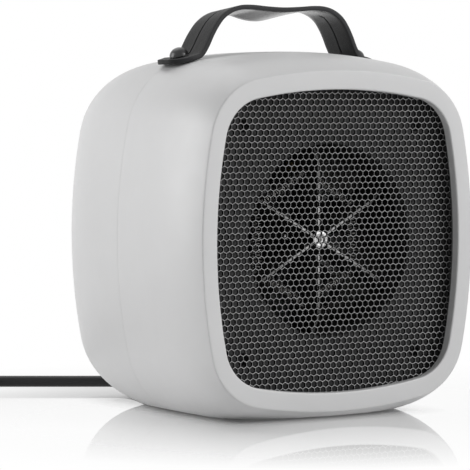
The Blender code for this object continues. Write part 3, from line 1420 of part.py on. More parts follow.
def build_rivets():
    """Domed rivets through strap and casing, and the washers behind the wall."""
    for side in (-1, 1):
        top, down = strap_seat(side * RIVET_OFFSET)
        head = STRAP_SEAT_GAP + STRAP_THICKNESS + FIT_GAP
        tail = WALL + WASHER_SEAT_GAP + WASHER_THICKNESS + FIT_GAP
        profile = [(0, head + RIVET_HEAD_HEIGHT)]
        for angle in (65, 42, 20):
            reach = math.radians(angle)
            profile.append((RIVET_HEAD_RADIUS * math.cos(reach), head + RIVET_HEAD_HEIGHT * math.sin(reach)))
        profile += [
            (RIVET_HEAD_RADIUS, head), (RIVET_RADIUS, head), (RIVET_RADIUS, -tail),
            (RIVET_TAIL_RADIUS, -tail), (RIVET_TAIL_RADIUS, -tail - RIVET_TAIL_HEIGHT),
            (0, -tail - RIVET_TAIL_HEIGHT),
        ]
        turned("strap_rivet_" + side_name(side), profile, black_steel(), top, -down, RIVET_SIDES)
        low = -WALL - WASHER_SEAT_GAP - WASHER_THICKNESS
        ring = [(WASHER_RADIUS, low + WASHER_THICKNESS), (WASHER_RADIUS, low),
                (RIVET_RADIUS + FIT_GAP, low), (RIVET_RADIUS + FIT_GAP, low + WASHER_THICKNESS)]
        turned("rivet_washer_" + side_name(side), ring, plain_steel(), top, -down, RIVET_SIDES)


def cord_path():
    return smooth_path(CORD_ROUTE, 2)


def build_cord_gland():
    """Strain relief: grommet in the wall, flange outside it and a boot that tapers along the cord."""
    path = cord_path()[:2 * GLAND_LENGTH_POINTS + 1]
    out = Vector((0, 1, 0))
    wall_face = Vector((GLAND_X, rear_face(), GLAND_HEIGHT))
    start = wall_face - out * (WALL + GLAND_INNER_LENGTH)
    flange_start = wall_face + out * FIT_GAP
    flange_end = flange_start + out * GLAND_FLANGE_THICKNESS
    boot = [point for point in path if point.y > flange_end.y + FIT_GAP]
    stations = [(start, GLAND_HOLE_RADIUS), (flange_start, GLAND_HOLE_RADIUS),
                (flange_start, GLAND_FLANGE_RADIUS), (flange_end, GLAND_FLANGE_RADIUS),
                (flange_end, GLAND_ROOT_RADIUS)]
    for i, point in enumerate(boot):
        share = (i + 1) / len(boot)
        stations.append((point, GLAND_ROOT_RADIUS + (GLAND_TIP_RADIUS - GLAND_ROOT_RADIUS) * share))
    rings = []
    for i, (place, radius) in enumerate(stations):
        after = stations[min(i + 1, len(stations) - 1)][0]
        before = stations[max(i - 1, 0)][0]
        run = (after - before) if i > len(stations) - len(boot) - 1 else out
        frame = run.to_track_quat("Y", "Z").to_matrix()
        rings.append([place + frame @ Vector((x, 0, z)) for x, z in ring_of(radius, WELL_SIDES)])
    return loft("cord_gland", rings, black_rubber(), smooth=40)


def coil_height(turned_by, middle):
    """Height of the wound cord: floor layer, then a climb in the half turn at the reversal."""
    upper = CORD_COIL_FLOOR + CORD_COIL_PITCH
    share = (turned_by - middle) / math.pi + 1 / 2
    share = min(max(share, 0), 1)
    blend = share * share * (3 - 2 * share)
    return CORD_COIL_FLOOR + (upper - CORD_COIL_FLOOR) * blend


def coil_points():
    """The wound cord: spirals in on the floor, climbs, and spirals out on top."""
    total = math.tau * CORD_COIL_TURNS
    middle = total / 2
    inner = CORD_COIL_MEAN_RADIUS - CORD_COIL_PITCH * CORD_COIL_TURNS / 4
    steps = round(CORD_COIL_TURNS * CORD_POINTS_PER_TURN)
    points = []
    for i in range(steps + 1):
        turned_by = total * i / steps
        radius = inner + CORD_COIL_PITCH * abs(turned_by - middle) / math.tau
        angle = math.radians(CORD_COIL_START) + turned_by
        points.append(Vector((COIL_CENTRE_X + radius * math.cos(angle),
                              COIL_CENTRE_Y + radius * math.sin(angle),
                              coil_height(turned_by, middle))))
    return points


def trimmed(points, start_gap, end_gap):
    """The path with its first and last points drawn in by a distance."""
    first = points[0] + (points[1] - points[0]).normalized() * start_gap
    last = points[-1] + (points[-2] - points[-1]).normalized() * end_gap
    return [first] + points[1:-1] + [last]


def path_length(points):
    return sum((far - near).length for near, far in zip(points, points[1:]))


def build_cord():
    """The free stretch, the wound coil and the tail, meeting end to end."""
    wound = coil_points()
    first_angle = math.radians(CORD_COIL_START)
    last_angle = first_angle + math.tau * CORD_COIL_TURNS
    into = Vector((math.sin(first_angle), -math.cos(first_angle), 0))
    out = Vector((-math.sin(last_angle), math.cos(last_angle), 0))
    lead = 2 * CORD_RADIUS
    coil = [wound[0] + into * lead] + wound + [wound[-1] + out * lead]
    free_end = [coil[0] + into * lead, coil[0] + into * FIT_GAP]
    tail_start = [coil[-1] + out * FIT_GAP, coil[-1] + out * lead]
    free = cord_path()[2 * GLAND_LENGTH_POINTS:]
    free = [point for point in free if (point - free_end[0]).dot(into) > lead]
    tail = smooth_path(TAIL_ROUTE, 2)
    tail = [point for point in tail if point.y < TAIL_ROUTE[1][1] and (point - tail_start[1]).length > lead]
    free = trimmed(free + free_end, 2 * FIT_GAP, 0)
    tail = trimmed(tail_start + tail, 0, FIT_GAP)
    tube("mains_cord", free, CORD_RADIUS, black_rubber(), 2)
    tube("cord_coil", coil, CORD_RADIUS, black_rubber(), 1)
    tube("cord_tail", tail, CORD_RADIUS, black_rubber(), 2)
    print("cord coil least gap to itself", round(coil_self_gap(wound), 5))
    boot = path_length(cord_path()[:2 * GLAND_LENGTH_POINTS + 1])
    total = boot + path_length(free) + path_length(coil) + path_length(tail)
    print("cord length", round(total, 3))
    return tail


def coil_self_gap(points):
    """Least surface distance between turns of the wound cord."""
    apart = CORD_POINTS_PER_TURN // 2
    least = None
    for i, point in enumerate(points):
        for other in points[i + apart:]:
            gap = (other - point).length - 2 * CORD_RADIUS
            least = gap if least is None else min(least, gap)
    return least


def build_cord_tie():
    """A band round all the turns at one place of the coil."""
    angle = math.radians(TIE_ANGLE)
    radial = Vector((math.cos(angle), math.sin(angle), 0))
    along = Vector((-math.sin(angle), math.cos(angle), 0))
    centre = Vector((COIL_CENTRE_X, COIL_CENTRE_Y, 0))
    near = [p for p in coil_points()
            if abs((p - centre).dot(along)) < TIE_WIDTH and (p - centre).dot(radial) > 0]
    reaches = [(p - centre).dot(radial) for p in near]
    room = CORD_RADIUS + FIT_GAP
    inner = min(reaches) - CORD_RADIUS - TIE_SIDE_GAP
    outer = max(reaches) + CORD_RADIUS + TIE_SIDE_GAP
    low, high = CORD_COIL_FLOOR - room, CORD_COIL_FLOOR + CORD_COIL_PITCH + room

    def loop(offset, grow):
        corners = ((inner - grow, low - grow), (outer + grow, low - grow),
                   (outer + grow, high + grow), (inner - grow, high + grow))
        return [centre + radial * reach + along * offset + Vector((0, 0, z)) for reach, z in corners]

    half = TIE_WIDTH / 2
    rings = [loop(-half, TIE_THICKNESS), loop(half, TIE_THICKNESS), loop(half, 0), loop(-half, 0)]
    return loft("cord_tie", rings, black_rubber(), closed=True)


def build_plug(tail):
    """A flat two-pin plug in line with the cord's end, and its pins."""
    run = tail[-1] - tail[-2]
    run.z = 0
    run.normalize()
    side = Vector((run.y, -run.x, 0))
    up = Vector((0, 0, 1))
    entry = tail[-1] + run * FIT_GAP
    entry.z = tail[-1].z
    stations = [
        (0, PLUG_NECK_RADIUS, PLUG_NECK_RADIUS), (PLUG_NECK_LENGTH, PLUG_NECK_RADIUS * 1.2, PLUG_NECK_RADIUS * 1.1),
        (PLUG_NECK_LENGTH * 1.4, PLUG_HALF_WIDTH * 0.72, PLUG_HALF_THICKNESS * 0.85),
        (PLUG_NECK_LENGTH * 2, PLUG_HALF_WIDTH, PLUG_HALF_THICKNESS),
        (PLUG_LENGTH, PLUG_HALF_WIDTH, PLUG_HALF_THICKNESS),
    ]
    rings = []
    for reach, wide, thick in stations:
        ring = []
        for c, s in ring_of(1, 12):
            shaped = math.copysign(abs(c) ** 0.6, c) * wide
            raised = math.copysign(abs(s) ** 0.6, s) * thick
            ring.append(entry + run * reach + side * shaped + up * raised)
        rings.append(ring)
    loft("plug_body", rings, black_rubber(), smooth=50)
    face = entry + run * (PLUG_LENGTH + FIT_GAP)
    for name, which in (("plug_pin_inner", -1), ("plug_pin_outer", 1)):
        root = face + side * which * PIN_SPACING / 2
        profile = [(0, PIN_LENGTH), (PIN_RADIUS / 2, PIN_LENGTH), (PIN_RADIUS, PIN_LENGTH - PIN_RADIUS / 2),
                   (PIN_RADIUS, 0), (0, 0)]
        turned(name, profile, brass(), root, run, SCREW_SIDES)


def main():
    global PARTS, CUTTERS
    clear_scene()
    PARTS = new_collection("mesh_front_fan_heater")
    CUTTERS = new_collection("cutters")
    build_front_shell()
    build_rear_shell()
    build_front_bezel()
    build_front_grille()
    build_baffle_plate()
    build_housing_screws()
    build_air_duct()
    build_mica_frame()
    build_element_hub()
    _, lead_in, lead_out = build_heating_coil()
    build_element_terminals((lead_in, lead_out))
    build_thermal_cutout()
    build_thermal_fuse()
    build_fan_impeller()
    build_motor_shaft()
    build_motor_bracket()
    build_bracket_screws()
    build_motor_bridges()
    build_motor_screws()
    build_motor_stack()
    build_motor_rotor()
    build_motor_winding()
    build_switch_housing()
    build_switch_rocker()
    build_tip_switch()
    build_terminal_block()
    build_wires((lead_in, lead_out))
    for side in (-1, 1):
        build_foot(side * FRONT_FOOT_X, FRONT_FOOT_DEPTH)
        build_foot(side * REAR_FOOT_X, REAR_FOOT_DEPTH)
    build_handle_strap()
    build_rivets()
    build_cord_gland()
    tail = build_cord()
    build_cord_tie()
    build_plug(tail)


main()
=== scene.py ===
"""Dressed model of a compact fan heater: bulged square casing, dished mesh front, strap handle."""

import logging
import math
from collections.abc import Callable, Iterable, Sequence
from dataclasses import dataclass
from enum import Enum

import bmesh
import bpy
from mathutils import Matrix, Vector
from mathutils.geometry import interpolate_bezier


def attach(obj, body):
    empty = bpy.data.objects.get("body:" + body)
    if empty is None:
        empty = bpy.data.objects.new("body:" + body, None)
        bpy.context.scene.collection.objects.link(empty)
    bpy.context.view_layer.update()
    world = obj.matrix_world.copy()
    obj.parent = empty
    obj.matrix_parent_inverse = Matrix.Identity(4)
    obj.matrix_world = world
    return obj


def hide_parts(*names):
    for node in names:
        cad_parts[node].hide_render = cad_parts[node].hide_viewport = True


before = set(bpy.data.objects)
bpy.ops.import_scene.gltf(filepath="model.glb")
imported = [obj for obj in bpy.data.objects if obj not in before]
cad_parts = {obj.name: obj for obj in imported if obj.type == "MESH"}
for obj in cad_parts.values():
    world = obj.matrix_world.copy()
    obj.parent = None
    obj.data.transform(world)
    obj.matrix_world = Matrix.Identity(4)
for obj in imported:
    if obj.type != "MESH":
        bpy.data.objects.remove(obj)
log = logging.getLogger("fan_heater")

Flat = tuple[float, float]
Triple = tuple[float, float, float]
Rounded = tuple[float, float, float, float]
Ring = Sequence[Vector]
Points = list[Vector]
Row = Sequence[bmesh.types.BMVert]
Depths = Callable[[float, float], float]
Piece = bpy.types.Object
Socket = bpy.types.NodeSocket
FIT_GAP = 0.0003  # free play between parts that only touch, in metres
CUT_PAST = 0.002  # how far a cutter stands out of what it cuts, in metres
NOISE_SPAN = (0.3, 0.7)  # where most of the noise lies
WELDS_PER_METRE = 1e7  # corners closer than one of these are one
FORWARD = Vector((0, -1, 0))
BACK = Vector((0, 1, 0))
UP = Vector((0, 0, 1))


class Body(Enum):
    """The bodies that pieces made here ride on."""

    HOUSING = "housing"
    FAN = "fan"
    ROCKER = "rocker"


class Slot(Enum):
    """The record's material slots."""

    CASING = "casing_plastic"
    DARK = "dark_plastic"
    BLACK_STEEL = "black_steel"
    STEEL = "plain_steel"
    MICA = "mica"
    WIRE = "heating_wire"
    BRASS = "brass"
    COPPER = "copper_winding"
    LEATHER = "strap_leather"
    RUBBER = "black_rubber"


class Side(Enum):
    """Left and right of someone facing the front."""

    LEFT = -1
    RIGHT = 1


class Cut(Enum):
    """What a cutter does to its target."""

    AWAY = "DIFFERENCE"
    JOIN = "UNION"


# Finishes


class Nodes:
    """A node tree that grows node by node."""

    def __init__(self, tree: bpy.types.NodeTree) -> None:
        """Start on a tree."""
        self.tree = tree

    def node(self, kind: str, *feeds: object, **values: object) -> bpy.types.Node:
        """Add a node.

        Args:
            kind: node type without its ShaderNode prefix.
            feeds: values or sockets for its first inputs, in order.
            values: settings in lower case, then values or sockets of named inputs, with _ for a space.

        Returns:
            The new node.
        """
        made = self.tree.nodes.new("ShaderNode" + kind)
        for name, value in values.items():
            if name.islower():
                setattr(made, name, value)
            else:
                self.feed(made.inputs[name.replace("_", " ")], value)
        for socket, value in zip(made.inputs, feeds):
            self.feed(socket, value)
        return made

    def feed(self, socket: Socket, value: object) -> None:
        """Link a socket into another or set its value.

        Args:
            socket: the input.
            value: a socket or a plain value.
        """
        if isinstance(value, Socket):
            self.tree.links.new(value, socket)
        else:
            socket.default_value = value

    def remap(self, value: Socket, low: float, high: float, out_low: float = 0.0,
              out_high: float = 1.0) -> Socket:
        """A value carried from one range onto another."""
        return self.node("MapRange", Value=value, From_Min=low, From_Max=high, To_Min=out_low,
                         To_Max=out_high).outputs["Result"]

    def math(self, how: str, first: object, second: object = 0.0) -> Socket:
        """Arithmetic on two values."""
        return self.node("Math", first, second, operation=how).outputs[0]

    def vector(self, how: str, *feeds: object) -> Socket:
        """Arithmetic on vectors, giving a value or a vector."""
        measured = how in ("DISTANCE", "DOT_PRODUCT", "LENGTH")
        return self.node("VectorMath", *feeds, operation=how).outputs["Value" if measured else "Vector"]


class Shading(Nodes):
    """A Principled material with procedural inputs."""

    def __init__(self, name: str) -> None:
        """Start an empty material.

        Args:
            name: the material's name.
        """
        self.material = bpy.data.materials.new(name)
        self.material.use_nodes = True
        super().__init__(self.material.node_tree)
        self.shader = self.tree.nodes["Principled BSDF"]
        self.space = self.node("TexCoord").outputs["Object"]

    def noise(self, scale: float, detail: float = 3.0, where: Socket | None = None,
              rough: float = 0.55) -> Socket:
        """Fractal noise with this many features a metre, in the object's own space if not told where."""
        return self.node("TexNoise", Scale=scale, Detail=detail, Roughness=rough,
                         Vector=where or self.space).outputs["Fac"]

    def stretched(self, stretch: Triple) -> Socket:
        """Object coordinates scaled differently along each axis."""
        return self.node("Mapping", Vector=self.space, Scale=stretch).outputs["Vector"]

    def normal(self, kind: str = "Normal") -> bpy.types.NodeOutputs:
        """The three parts of the surface's direction."""
        return self.node("SeparateXYZ", self.node("NewGeometry").outputs[kind]).outputs

    def facing(self, part: Socket, low: float, high: float) -> Socket:
        """How far the size of a part of the direction has come from low, 0, to high, 1."""
        return self.remap(self.math("ABSOLUTE", part), low, high)

    def blend(self, share: Socket, first: Triple | Socket, second: Triple | Socket) -> Socket:
        """Mix two colours.

        Args:
            share: how much of the second.
            first: colour or socket.
            second: colour or socket.

        Returns:
            The mixed colour.
        """
        made = self.node("Mix", share, data_type="RGBA")
        for socket, colour in zip(made.inputs[6:8], (first, second)):
            self.feed(socket, colour if isinstance(colour, Socket) else (*colour, 1.0))
        return made.outputs[2]

    def relief(self, height: Socket, strength: float, depth: float) -> None:
        """Bump the surface, on top of what bumps it already.

        Args:
            height: height from 0 to 1.
            strength: share of the bump that shows.
            depth: real depth in metres.
        """
        made = self.node("Bump", Height=height, Strength=strength, Distance=depth)
        before = self.shader.inputs["Normal"].links
        if before:
            self.feed(made.inputs["Normal"], before[0].from_socket)
        self.set(Normal=made.outputs["Normal"])

    def set(self, **values: object) -> None:
        """Set inputs of the shader to values or sockets, with _ for a space in a name."""
        for name, value in values.items():
            self.feed(self.shader.inputs[name.replace("_", " ")], value)

    def tone(self) -> Socket:
        """What colours the shader so far."""
        return self.shader.inputs["Base Color"].links[0].from_socket


def shaded(colour: Triple, factor: float) -> Triple:
    """A colour made lighter or darker."""
    red, green, blue = (min(part * factor, 1.0) for part in colour)
    return red, green, blue


@dataclass(frozen=True)
class Finish:
    """A surface with faint cloudy colour, uneven gloss and a fine grain."""

    name: str
    slot: Slot
    colour: Triple
    roughness: float
    metallic: float = 0.0
    specular: float = 0.5
    cloud: float = 0.04
    cloud_scale: float = 45.0
    gloss_spread: float = 0.05
    gloss_ratio: float = 6.0
    grain_scale: float = 2600.0
    grain_depth: float = 0.00002
    grain_strength: float = 0.35

    def tinted(self, low: float, high: float) -> tuple[Triple, Triple]:
        """The colour times each of two factors."""
        return shaded(self.colour, low), shaded(self.colour, high)

    def tones(self) -> tuple[Triple, Triple]:
        """The colour at its darkest and at its lightest."""
        return self.tinted(1 - self.cloud, 1 + self.cloud)

    def dulled(self, low: float, high: float) -> Flat:
        """The roughness with each of two changes."""
        return self.roughness + low, self.roughness + high

    def glosses(self) -> Flat:
        """The roughness at its smoothest and at its dullest."""
        return self.dulled(-self.gloss_spread, self.gloss_spread)

    def material(self) -> bpy.types.Material:
        """The finish as a material, made once.

        Returns:
            The material.
        """
        found = bpy.data.materials.get(self.name)
        if found:
            return found
        work = Shading(self.name)
        work.set(Roughness=self.roughness, Metallic=self.metallic, Specular_IOR_Level=self.specular)
        self.surface(work)
        return work.material

    def surface(self, work: Shading) -> None:
        """Colour, gloss and grain of the plain finish.

        Args:
            work: the material in hand.
        """
        clouds = work.remap(work.noise(self.cloud_scale), *NOISE_SPAN)
        gloss = work.remap(work.noise(self.cloud_scale * self.gloss_ratio), *NOISE_SPAN, *self.glosses())
        work.set(Base_Color=work.blend(clouds, *self.tones()), Roughness=gloss)
        work.relief(work.noise(self.grain_scale, 2.0), self.grain_strength, self.grain_depth)


@dataclass(frozen=True)
class BrushedSteel(Finish):
    """Steel with fine lines along one axis."""

    lines: Triple = (60.0, 3000.0, 3000.0)
    span: Flat = (0.7, 1.3)

    def surface(self, work: Shading) -> None:
        """Lines over a cloudy sheen.

        Args:
            work: the material in hand.
        """
        lines = work.noise(1.0, 3.0, work.stretched(self.lines), 0.7)
        tone = work.remap(work.math("ADD", lines, work.noise(self.cloud_scale)), *self.span)
        work.set(Base_Color=work.blend(tone, *self.tones()),
                 Roughness=work.remap(lines, *NOISE_SPAN, *self.glosses()))
        work.relief(lines, self.grain_strength, self.grain_depth)


@dataclass(frozen=True)
class Flaked(Finish):
    """Pressed mica: pale flakes with darker specks and thin layered relief."""

    fleck: Triple = (0.30, 0.27, 0.22)
    flake_scale: float = 420.0
    flake_span: Flat = (0.0, 0.8)
    flake_tints: Flat = (1.12, 0.86)
    flake_dulling: Flat = (-0.08, 0.1)
    speck_scale: float = 1500.0
    speck_span: Flat = (0.56, 0.7)
    layer_depth: float = 0.00005
    layer_strength: float = 0.4

    def surface(self, work: Shading) -> None:
        """Flakes, specks and layers.

        Args:
            work: the material in hand.
        """
        flakes = work.node("TexVoronoi", Vector=work.space, Scale=self.flake_scale).outputs["Distance"]
        specks = work.remap(work.noise(self.speck_scale, 4.0), *self.speck_span)
        pale = work.blend(work.remap(flakes, *self.flake_span), *self.tinted(*self.flake_tints))
        work.set(Base_Color=work.blend(specks, pale, self.fleck),
                 Roughness=work.remap(flakes, *self.flake_span, *self.dulled(*self.flake_dulling)))
        work.relief(flakes, self.layer_strength, self.layer_depth)


@dataclass(frozen=True)
class CutMica(Flaked):
    """Pressed mica with lightened front edges: partly their clean cut, partly a painted highlight brightest
    near the hub.
    """

    # The painted highlight: its colour, the hub it centres on, the distances over which it fades, and its
    # share near and far.
    edge: Triple = (0.95, 0.95, 0.94)
    middle: Triple = (0.0, 0.0, 0.0904)
    reach: Flat = (0.012, 0.040)
    shine: Flat = (1.0, 0.2)
    cut_span: Flat = (0.6, 0.95)

    def surface(self, work: Shading) -> None:
        """Lightened front edges over the flakes, a painted highlight strongest near the hub.

        Args:
            work: the material in hand.
        """
        super().surface(work)
        front = work.facing(work.normal()["Y"], *self.cut_span)
        away = work.vector("DISTANCE", work.stretched((1.0, 0.0, 1.0)), self.middle)
        # Painted highlight: front-facing faces are lightened, most near the hub and less further out.
        painted_highlight = work.math("MULTIPLY", front, work.remap(away, *self.reach, *self.shine))
        work.set(Base_Color=work.blend(painted_highlight, work.tone(), self.edge))


@dataclass(frozen=True)
class Leather(Finish):
    """Black grained leather with a painted sheen lightening its cut edges, and its underside glazed."""

    pore_scale: float = 1500.0
    pore_span: Flat = (0.0, 0.35)
    pore_dulling: Flat = (0.12, -0.05)
    pore_depth: float = 0.00009
    pore_strength: float = 0.5
    crease_scale: float = 520.0
    crease_span: Flat = (0.35, 0.7)
    crease_tints: Flat = (0.8, 1.25)
    crease_share: float = 0.7
    warp_scale: float = 900.0
    warp: float = 0.0008
    wear_span: Flat = (0.51, 0.56)
    wear_lift: float = 1.9
    # Painted sheen on the cut edges: how far a face must turn front or back, and how much lighter it is
    # painted then.
    cut_span: Flat = (0.6, 0.9)
    cut_lift: float = 3.8
    lining_span: Flat = (-0.7, -0.2)
    lining_gloss: float = 0.2

    def surface(self, work: Shading) -> None:
        """Pebbled grain, creases, rubbed edges, a painted sheen on the cut edges, and the glazed underside.

        Args:
            work: the material in hand.
        """
        shift = work.node("TexNoise", Vector=work.space, Scale=self.warp_scale, Detail=2.0).outputs["Color"]
        moved = work.vector("MULTIPLY_ADD", shift, (self.warp,) * 3, work.space)
        pebbles = work.node("TexVoronoi", feature="DISTANCE_TO_EDGE", Vector=moved,
                            Scale=self.pore_scale).outputs["Distance"]
        creases = work.noise(self.crease_scale, 5.0)
        height = work.math("ADD", work.remap(pebbles, *self.pore_span),
                           work.math("MULTIPLY", creases, self.crease_share))
        wear = work.remap(work.node("NewGeometry").outputs["Pointiness"], *self.wear_span)
        tone = work.blend(work.remap(creases, *self.crease_span), *self.tinted(*self.crease_tints))
        worn = work.blend(wear, tone, shaded(self.colour, self.wear_lift))
        normal = work.normal()
        # Painted sheen: faces turned front or back, which are the strap's cut edges, are painted lighter.
        cut = work.facing(normal["Y"], *self.cut_span)
        work.set(Base_Color=work.blend(cut, worn, shaded(self.colour, self.cut_lift)),
                 Roughness=work.remap(pebbles, 0.0, 0.4, *self.dulled(*self.pore_dulling)),
                 Coat_Weight=work.remap(normal["Z"], *self.lining_span, 1.0, 0.0),
                 Coat_Roughness=self.lining_gloss)
        work.relief(height, self.pore_strength, self.pore_depth)


@dataclass(frozen=True)
class Punched(Finish):
    """Punched sheet: its outward faces pale as a painted highlight, its hole walls near black as painted
    shade.
    """

    gloss_ratio: float = 8.0
    # The fields below hold the near-black painted shade of the hole walls, and the range of facing over which
    # the painted highlight takes over from it.
    wall: Triple = (0.006, 0.006, 0.006)
    wall_span: Flat = (0.75, 0.97)

    def surface(self, work: Shading) -> None:
        """Painted highlight on the outward faces over painted shade on the hole walls.

        Args:
            work: the material in hand.
        """
        super().surface(work)
        # Painted light: faces turned to the front take the pale colour as a painted highlight, and the hole
        # walls take the near-black painted shade and lose their gloss.
        front = work.facing(work.normal("True Normal")["Y"], *self.wall_span)
        work.set(Base_Color=work.blend(front, self.wall, work.tone()),
                 Specular_IOR_Level=work.remap(front, 0.0, 1.0, 0.0, self.specular))


@dataclass(frozen=True)
class Wound(Finish):
    """Many thin lines side by side: enamelled wire turns or stacked laminations."""

    lines_per_metre: float = 2400.0
    across: Triple = (1.0, 0.0, 0.0)
    line_depth: float = 0.00012
    line_strength: float = 0.8
    line_tints: Flat = (0.75, 1.2)
    line_dulling: Flat = (0.2, 0.0)
    joint_tint: float = 0.35
    wobble: float = 0.0004
    wobble_scale: float = 120.0
    tone_scale: float = 300.0

    def surface(self, work: Shading) -> None:
        """Lines with dark joints.

        Args:
            work: the material in hand.
        """
        along = work.math("ADD", work.vector("DOT_PRODUCT", work.space, self.across),
                          work.math("MULTIPLY", work.noise(self.wobble_scale), self.wobble))
        wave = work.math("SINE", work.math("MULTIPLY", along, self.lines_per_metre * math.tau))
        crown = work.remap(wave, -1.0, 1.0)
        tone = work.blend(work.noise(self.tone_scale), *self.tinted(*self.line_tints))
        work.set(Base_Color=work.blend(crown, shaded(self.colour, self.joint_tint), tone),
                 Roughness=work.remap(crown, 0.0, 1.0, *self.dulled(*self.line_dulling)))
        work.relief(crown, self.line_strength, self.line_depth)


CASING_GREY = Finish("satin_casing_plastic", Slot.CASING, (0.60, 0.60, 0.603), 0.42, cloud=0.015,
                     cloud_scale=28.0, gloss_spread=0.04, grain_scale=3200.0, grain_depth=0.000012,
                     grain_strength=0.25)
BAFFLE_BLACK = Finish("matt_baffle_plastic", Slot.DARK, (0.062, 0.062, 0.063), 0.66, specular=0.1,
                      cloud=0.12, grain_depth=0.00003)
SWITCH_BLACK = Finish("gloss_switch_plastic", Slot.DARK, (0.022, 0.022, 0.023), 0.28, cloud=0.08,
                      gloss_spread=0.03, grain_depth=0.00001)
FAN_BLACK = Finish("moulded_fan_plastic", Slot.DARK, (0.018, 0.018, 0.019), 0.45, cloud=0.12)
# The mesh's pale colour is a painted highlight on its outward faces. Its hole walls get painted shade.
MESH_PAINTED_LIGHT = Punched("coated_mesh_steel", Slot.BLACK_STEEL, (0.40, 0.40, 0.402), 0.40, metallic=0.1,
                     cloud=0.06, cloud_scale=120.0, grain_scale=5200.0, grain_depth=0.00001)
RIM_GREY = Finish("coated_rim_steel", Slot.BLACK_STEEL, (0.10, 0.10, 0.101), 0.5, specular=0.3,
                  cloud=0.08, cloud_scale=120.0, grain_scale=5200.0)
RIVET_BLACK = Finish("blackened_rivet_steel", Slot.BLACK_STEEL, (0.022, 0.022, 0.023), 0.32,
                     metallic=0.2, cloud=0.15, cloud_scale=400.0, grain_scale=4200.0)
SCREW_DARK = Finish("phosphated_screw_steel", Slot.STEEL, (0.030, 0.030, 0.031), 0.55, metallic=0.3,
                    cloud=0.15, cloud_scale=400.0, grain_scale=4200.0)
DUCT_STEEL = BrushedSteel("heat_dulled_duct_steel", Slot.STEEL, (0.06, 0.057, 0.054), 0.5,
                          metallic=0.8, cloud=0.25)
STRIP_STEEL = BrushedSteel("zinc_strip_steel", Slot.STEEL, (0.55, 0.55, 0.56), 0.34, metallic=1.0,
                           cloud=0.10)
TURNED_STEEL = Finish("turned_bright_steel", Slot.STEEL, (0.66, 0.66, 0.67), 0.26, metallic=1.0,
                      cloud=0.06, cloud_scale=500.0, grain_scale=6000.0)
LAMINATED = Wound("laminated_core_steel", Slot.STEEL, (0.30, 0.30, 0.31), 0.4, metallic=0.9,
                  lines_per_metre=1400.0, across=(0.0, 1.0, 0.0), line_depth=0.0001)
WINDING = Wound("enamelled_copper_winding", Slot.COPPER, (0.50, 0.20, 0.08), 0.32, metallic=0.7)
SLEEVED = Wound("sleeved_inner_wire", Slot.COPPER, (0.42, 0.36, 0.30), 0.6,
                lines_per_metre=1500.0, across=(0.6, 0.4, 0.7))
MICA_SHEET = CutMica("pressed_mica_sheet", Slot.MICA, (0.045, 0.044, 0.042), 0.5, specular=0.2,
                     fleck=(0.03, 0.029, 0.026))
CERAMIC = Finish("glazed_block_ceramic", Slot.MICA, (0.66, 0.63, 0.56), 0.3, cloud=0.08,
                 cloud_scale=200.0)
COIL_WIRE = Finish("oxidised_heating_wire", Slot.WIRE, (0.34, 0.33, 0.32), 0.38, metallic=0.9,
                   cloud=0.3, cloud_scale=350.0, grain_scale=7000.0)
BRASS = Finish("drawn_brass", Slot.BRASS, (0.70, 0.52, 0.24), 0.3, metallic=1.0, cloud=0.1,
               cloud_scale=300.0, grain_scale=5000.0)
HUB_BRIGHT = Finish("pressed_hub_washer", Slot.STEEL, (0.92, 0.92, 0.92), 0.42, metallic=0.7,
                    cloud=0.05, cloud_scale=500.0, grain_scale=6000.0)
STRAP_BLACK = Leather("grained_strap_leather", Slot.LEATHER, (0.008, 0.008, 0.0084), 0.44,
                      specular=0.15)
CORD_BLACK = Finish("drawn_cord_jacket", Slot.RUBBER, (0.013, 0.013, 0.0135), 0.42, specular=0.3,
                    cloud=0.12, cloud_scale=160.0, grain_scale=3000.0)
RUBBER = Finish("moulded_rubber", Slot.RUBBER, (0.022, 0.022, 0.023), 0.62, cloud=0.15,
                cloud_scale=200.0, grain_scale=2200.0, grain_depth=0.00004)


# Mesh work


def placed(name: str, data: bpy.types.ID) -> Piece:
    """Put a new object in the scene.

    Args:
        name: its name.
        data: its mesh, curve, lamp or camera.

    Returns:
        The object.
    """
    made = bpy.data.objects.new(name, data)
    bpy.context.scene.collection.objects.link(made)
    return made


def smoothed(mesh: bpy.types.Mesh, sharp: float) -> None:
    """Shade a mesh smooth, apart from edges sharper than an angle in degrees."""
    mesh.shade_smooth()
    mesh.set_sharp_from_angle(angle=math.radians(sharp))


def object_from(name: str, work: bmesh.types.BMesh, sharp: float = 30.0) -> Piece:
    """Turn a mesh in work into an object.

    Args:
        name: its name.
        work: the mesh, which is used up.
        sharp: least angle of a sharp edge, in degrees.

    Returns:
        The object.
    """
    bmesh.ops.recalc_face_normals(work, faces=work.faces)
    mesh = bpy.data.meshes.new(name)
    work.to_mesh(mesh)
    work.free()
    smoothed(mesh, sharp)
    return placed(name, mesh)


def skin(work: bmesh.types.BMesh, near: Row, far: Row) -> None:
    """Join two closed rows of corners with faces."""
    for i in range(len(near)):
        work.faces.new((near[i], near[i - 1], far[i - 1], far[i]))


def loft(name: str, rings: Sequence[Ring], closed: bool = False, sharp: float = 30.0) -> Piece:
    """Skin rings of equal point counts.

    Args:
        name: its name.
        rings: the rings, in order.
        closed: whether the last ring joins the first, rather than both being capped.
        sharp: least angle of a sharp edge, in degrees.

    Returns:
        The object.
    """
    work = bmesh.new()
    rows = [[work.verts.new(point) for point in ring] for ring in rings]
    for near, far in zip(rows, rows[1:] + rows[:1] if closed else rows[1:]):
        skin(work, near, far)
    if not closed:
        work.faces.new(rows[0])
        work.faces.new(rows[-1][::-1])
    return object_from(name, work, sharp)


def circle(radius: float, count: int, start: float = 0.0) -> list[Flat]:
    """Points round a circle, the first at this angle."""
    angles = [start + math.tau * i / count for i in range(count)]
    return [(radius * math.cos(a), radius * math.sin(a)) for a in angles]


def quarter(steps: int) -> list[Flat]:
    """Cosine and sine at even steps of a quarter turn, from (1, 0) to (0, 1)."""
    angles = [math.pi / 2 * i / steps for i in range(steps + 1)]
    return [(math.cos(a), math.sin(a)) for a in angles]


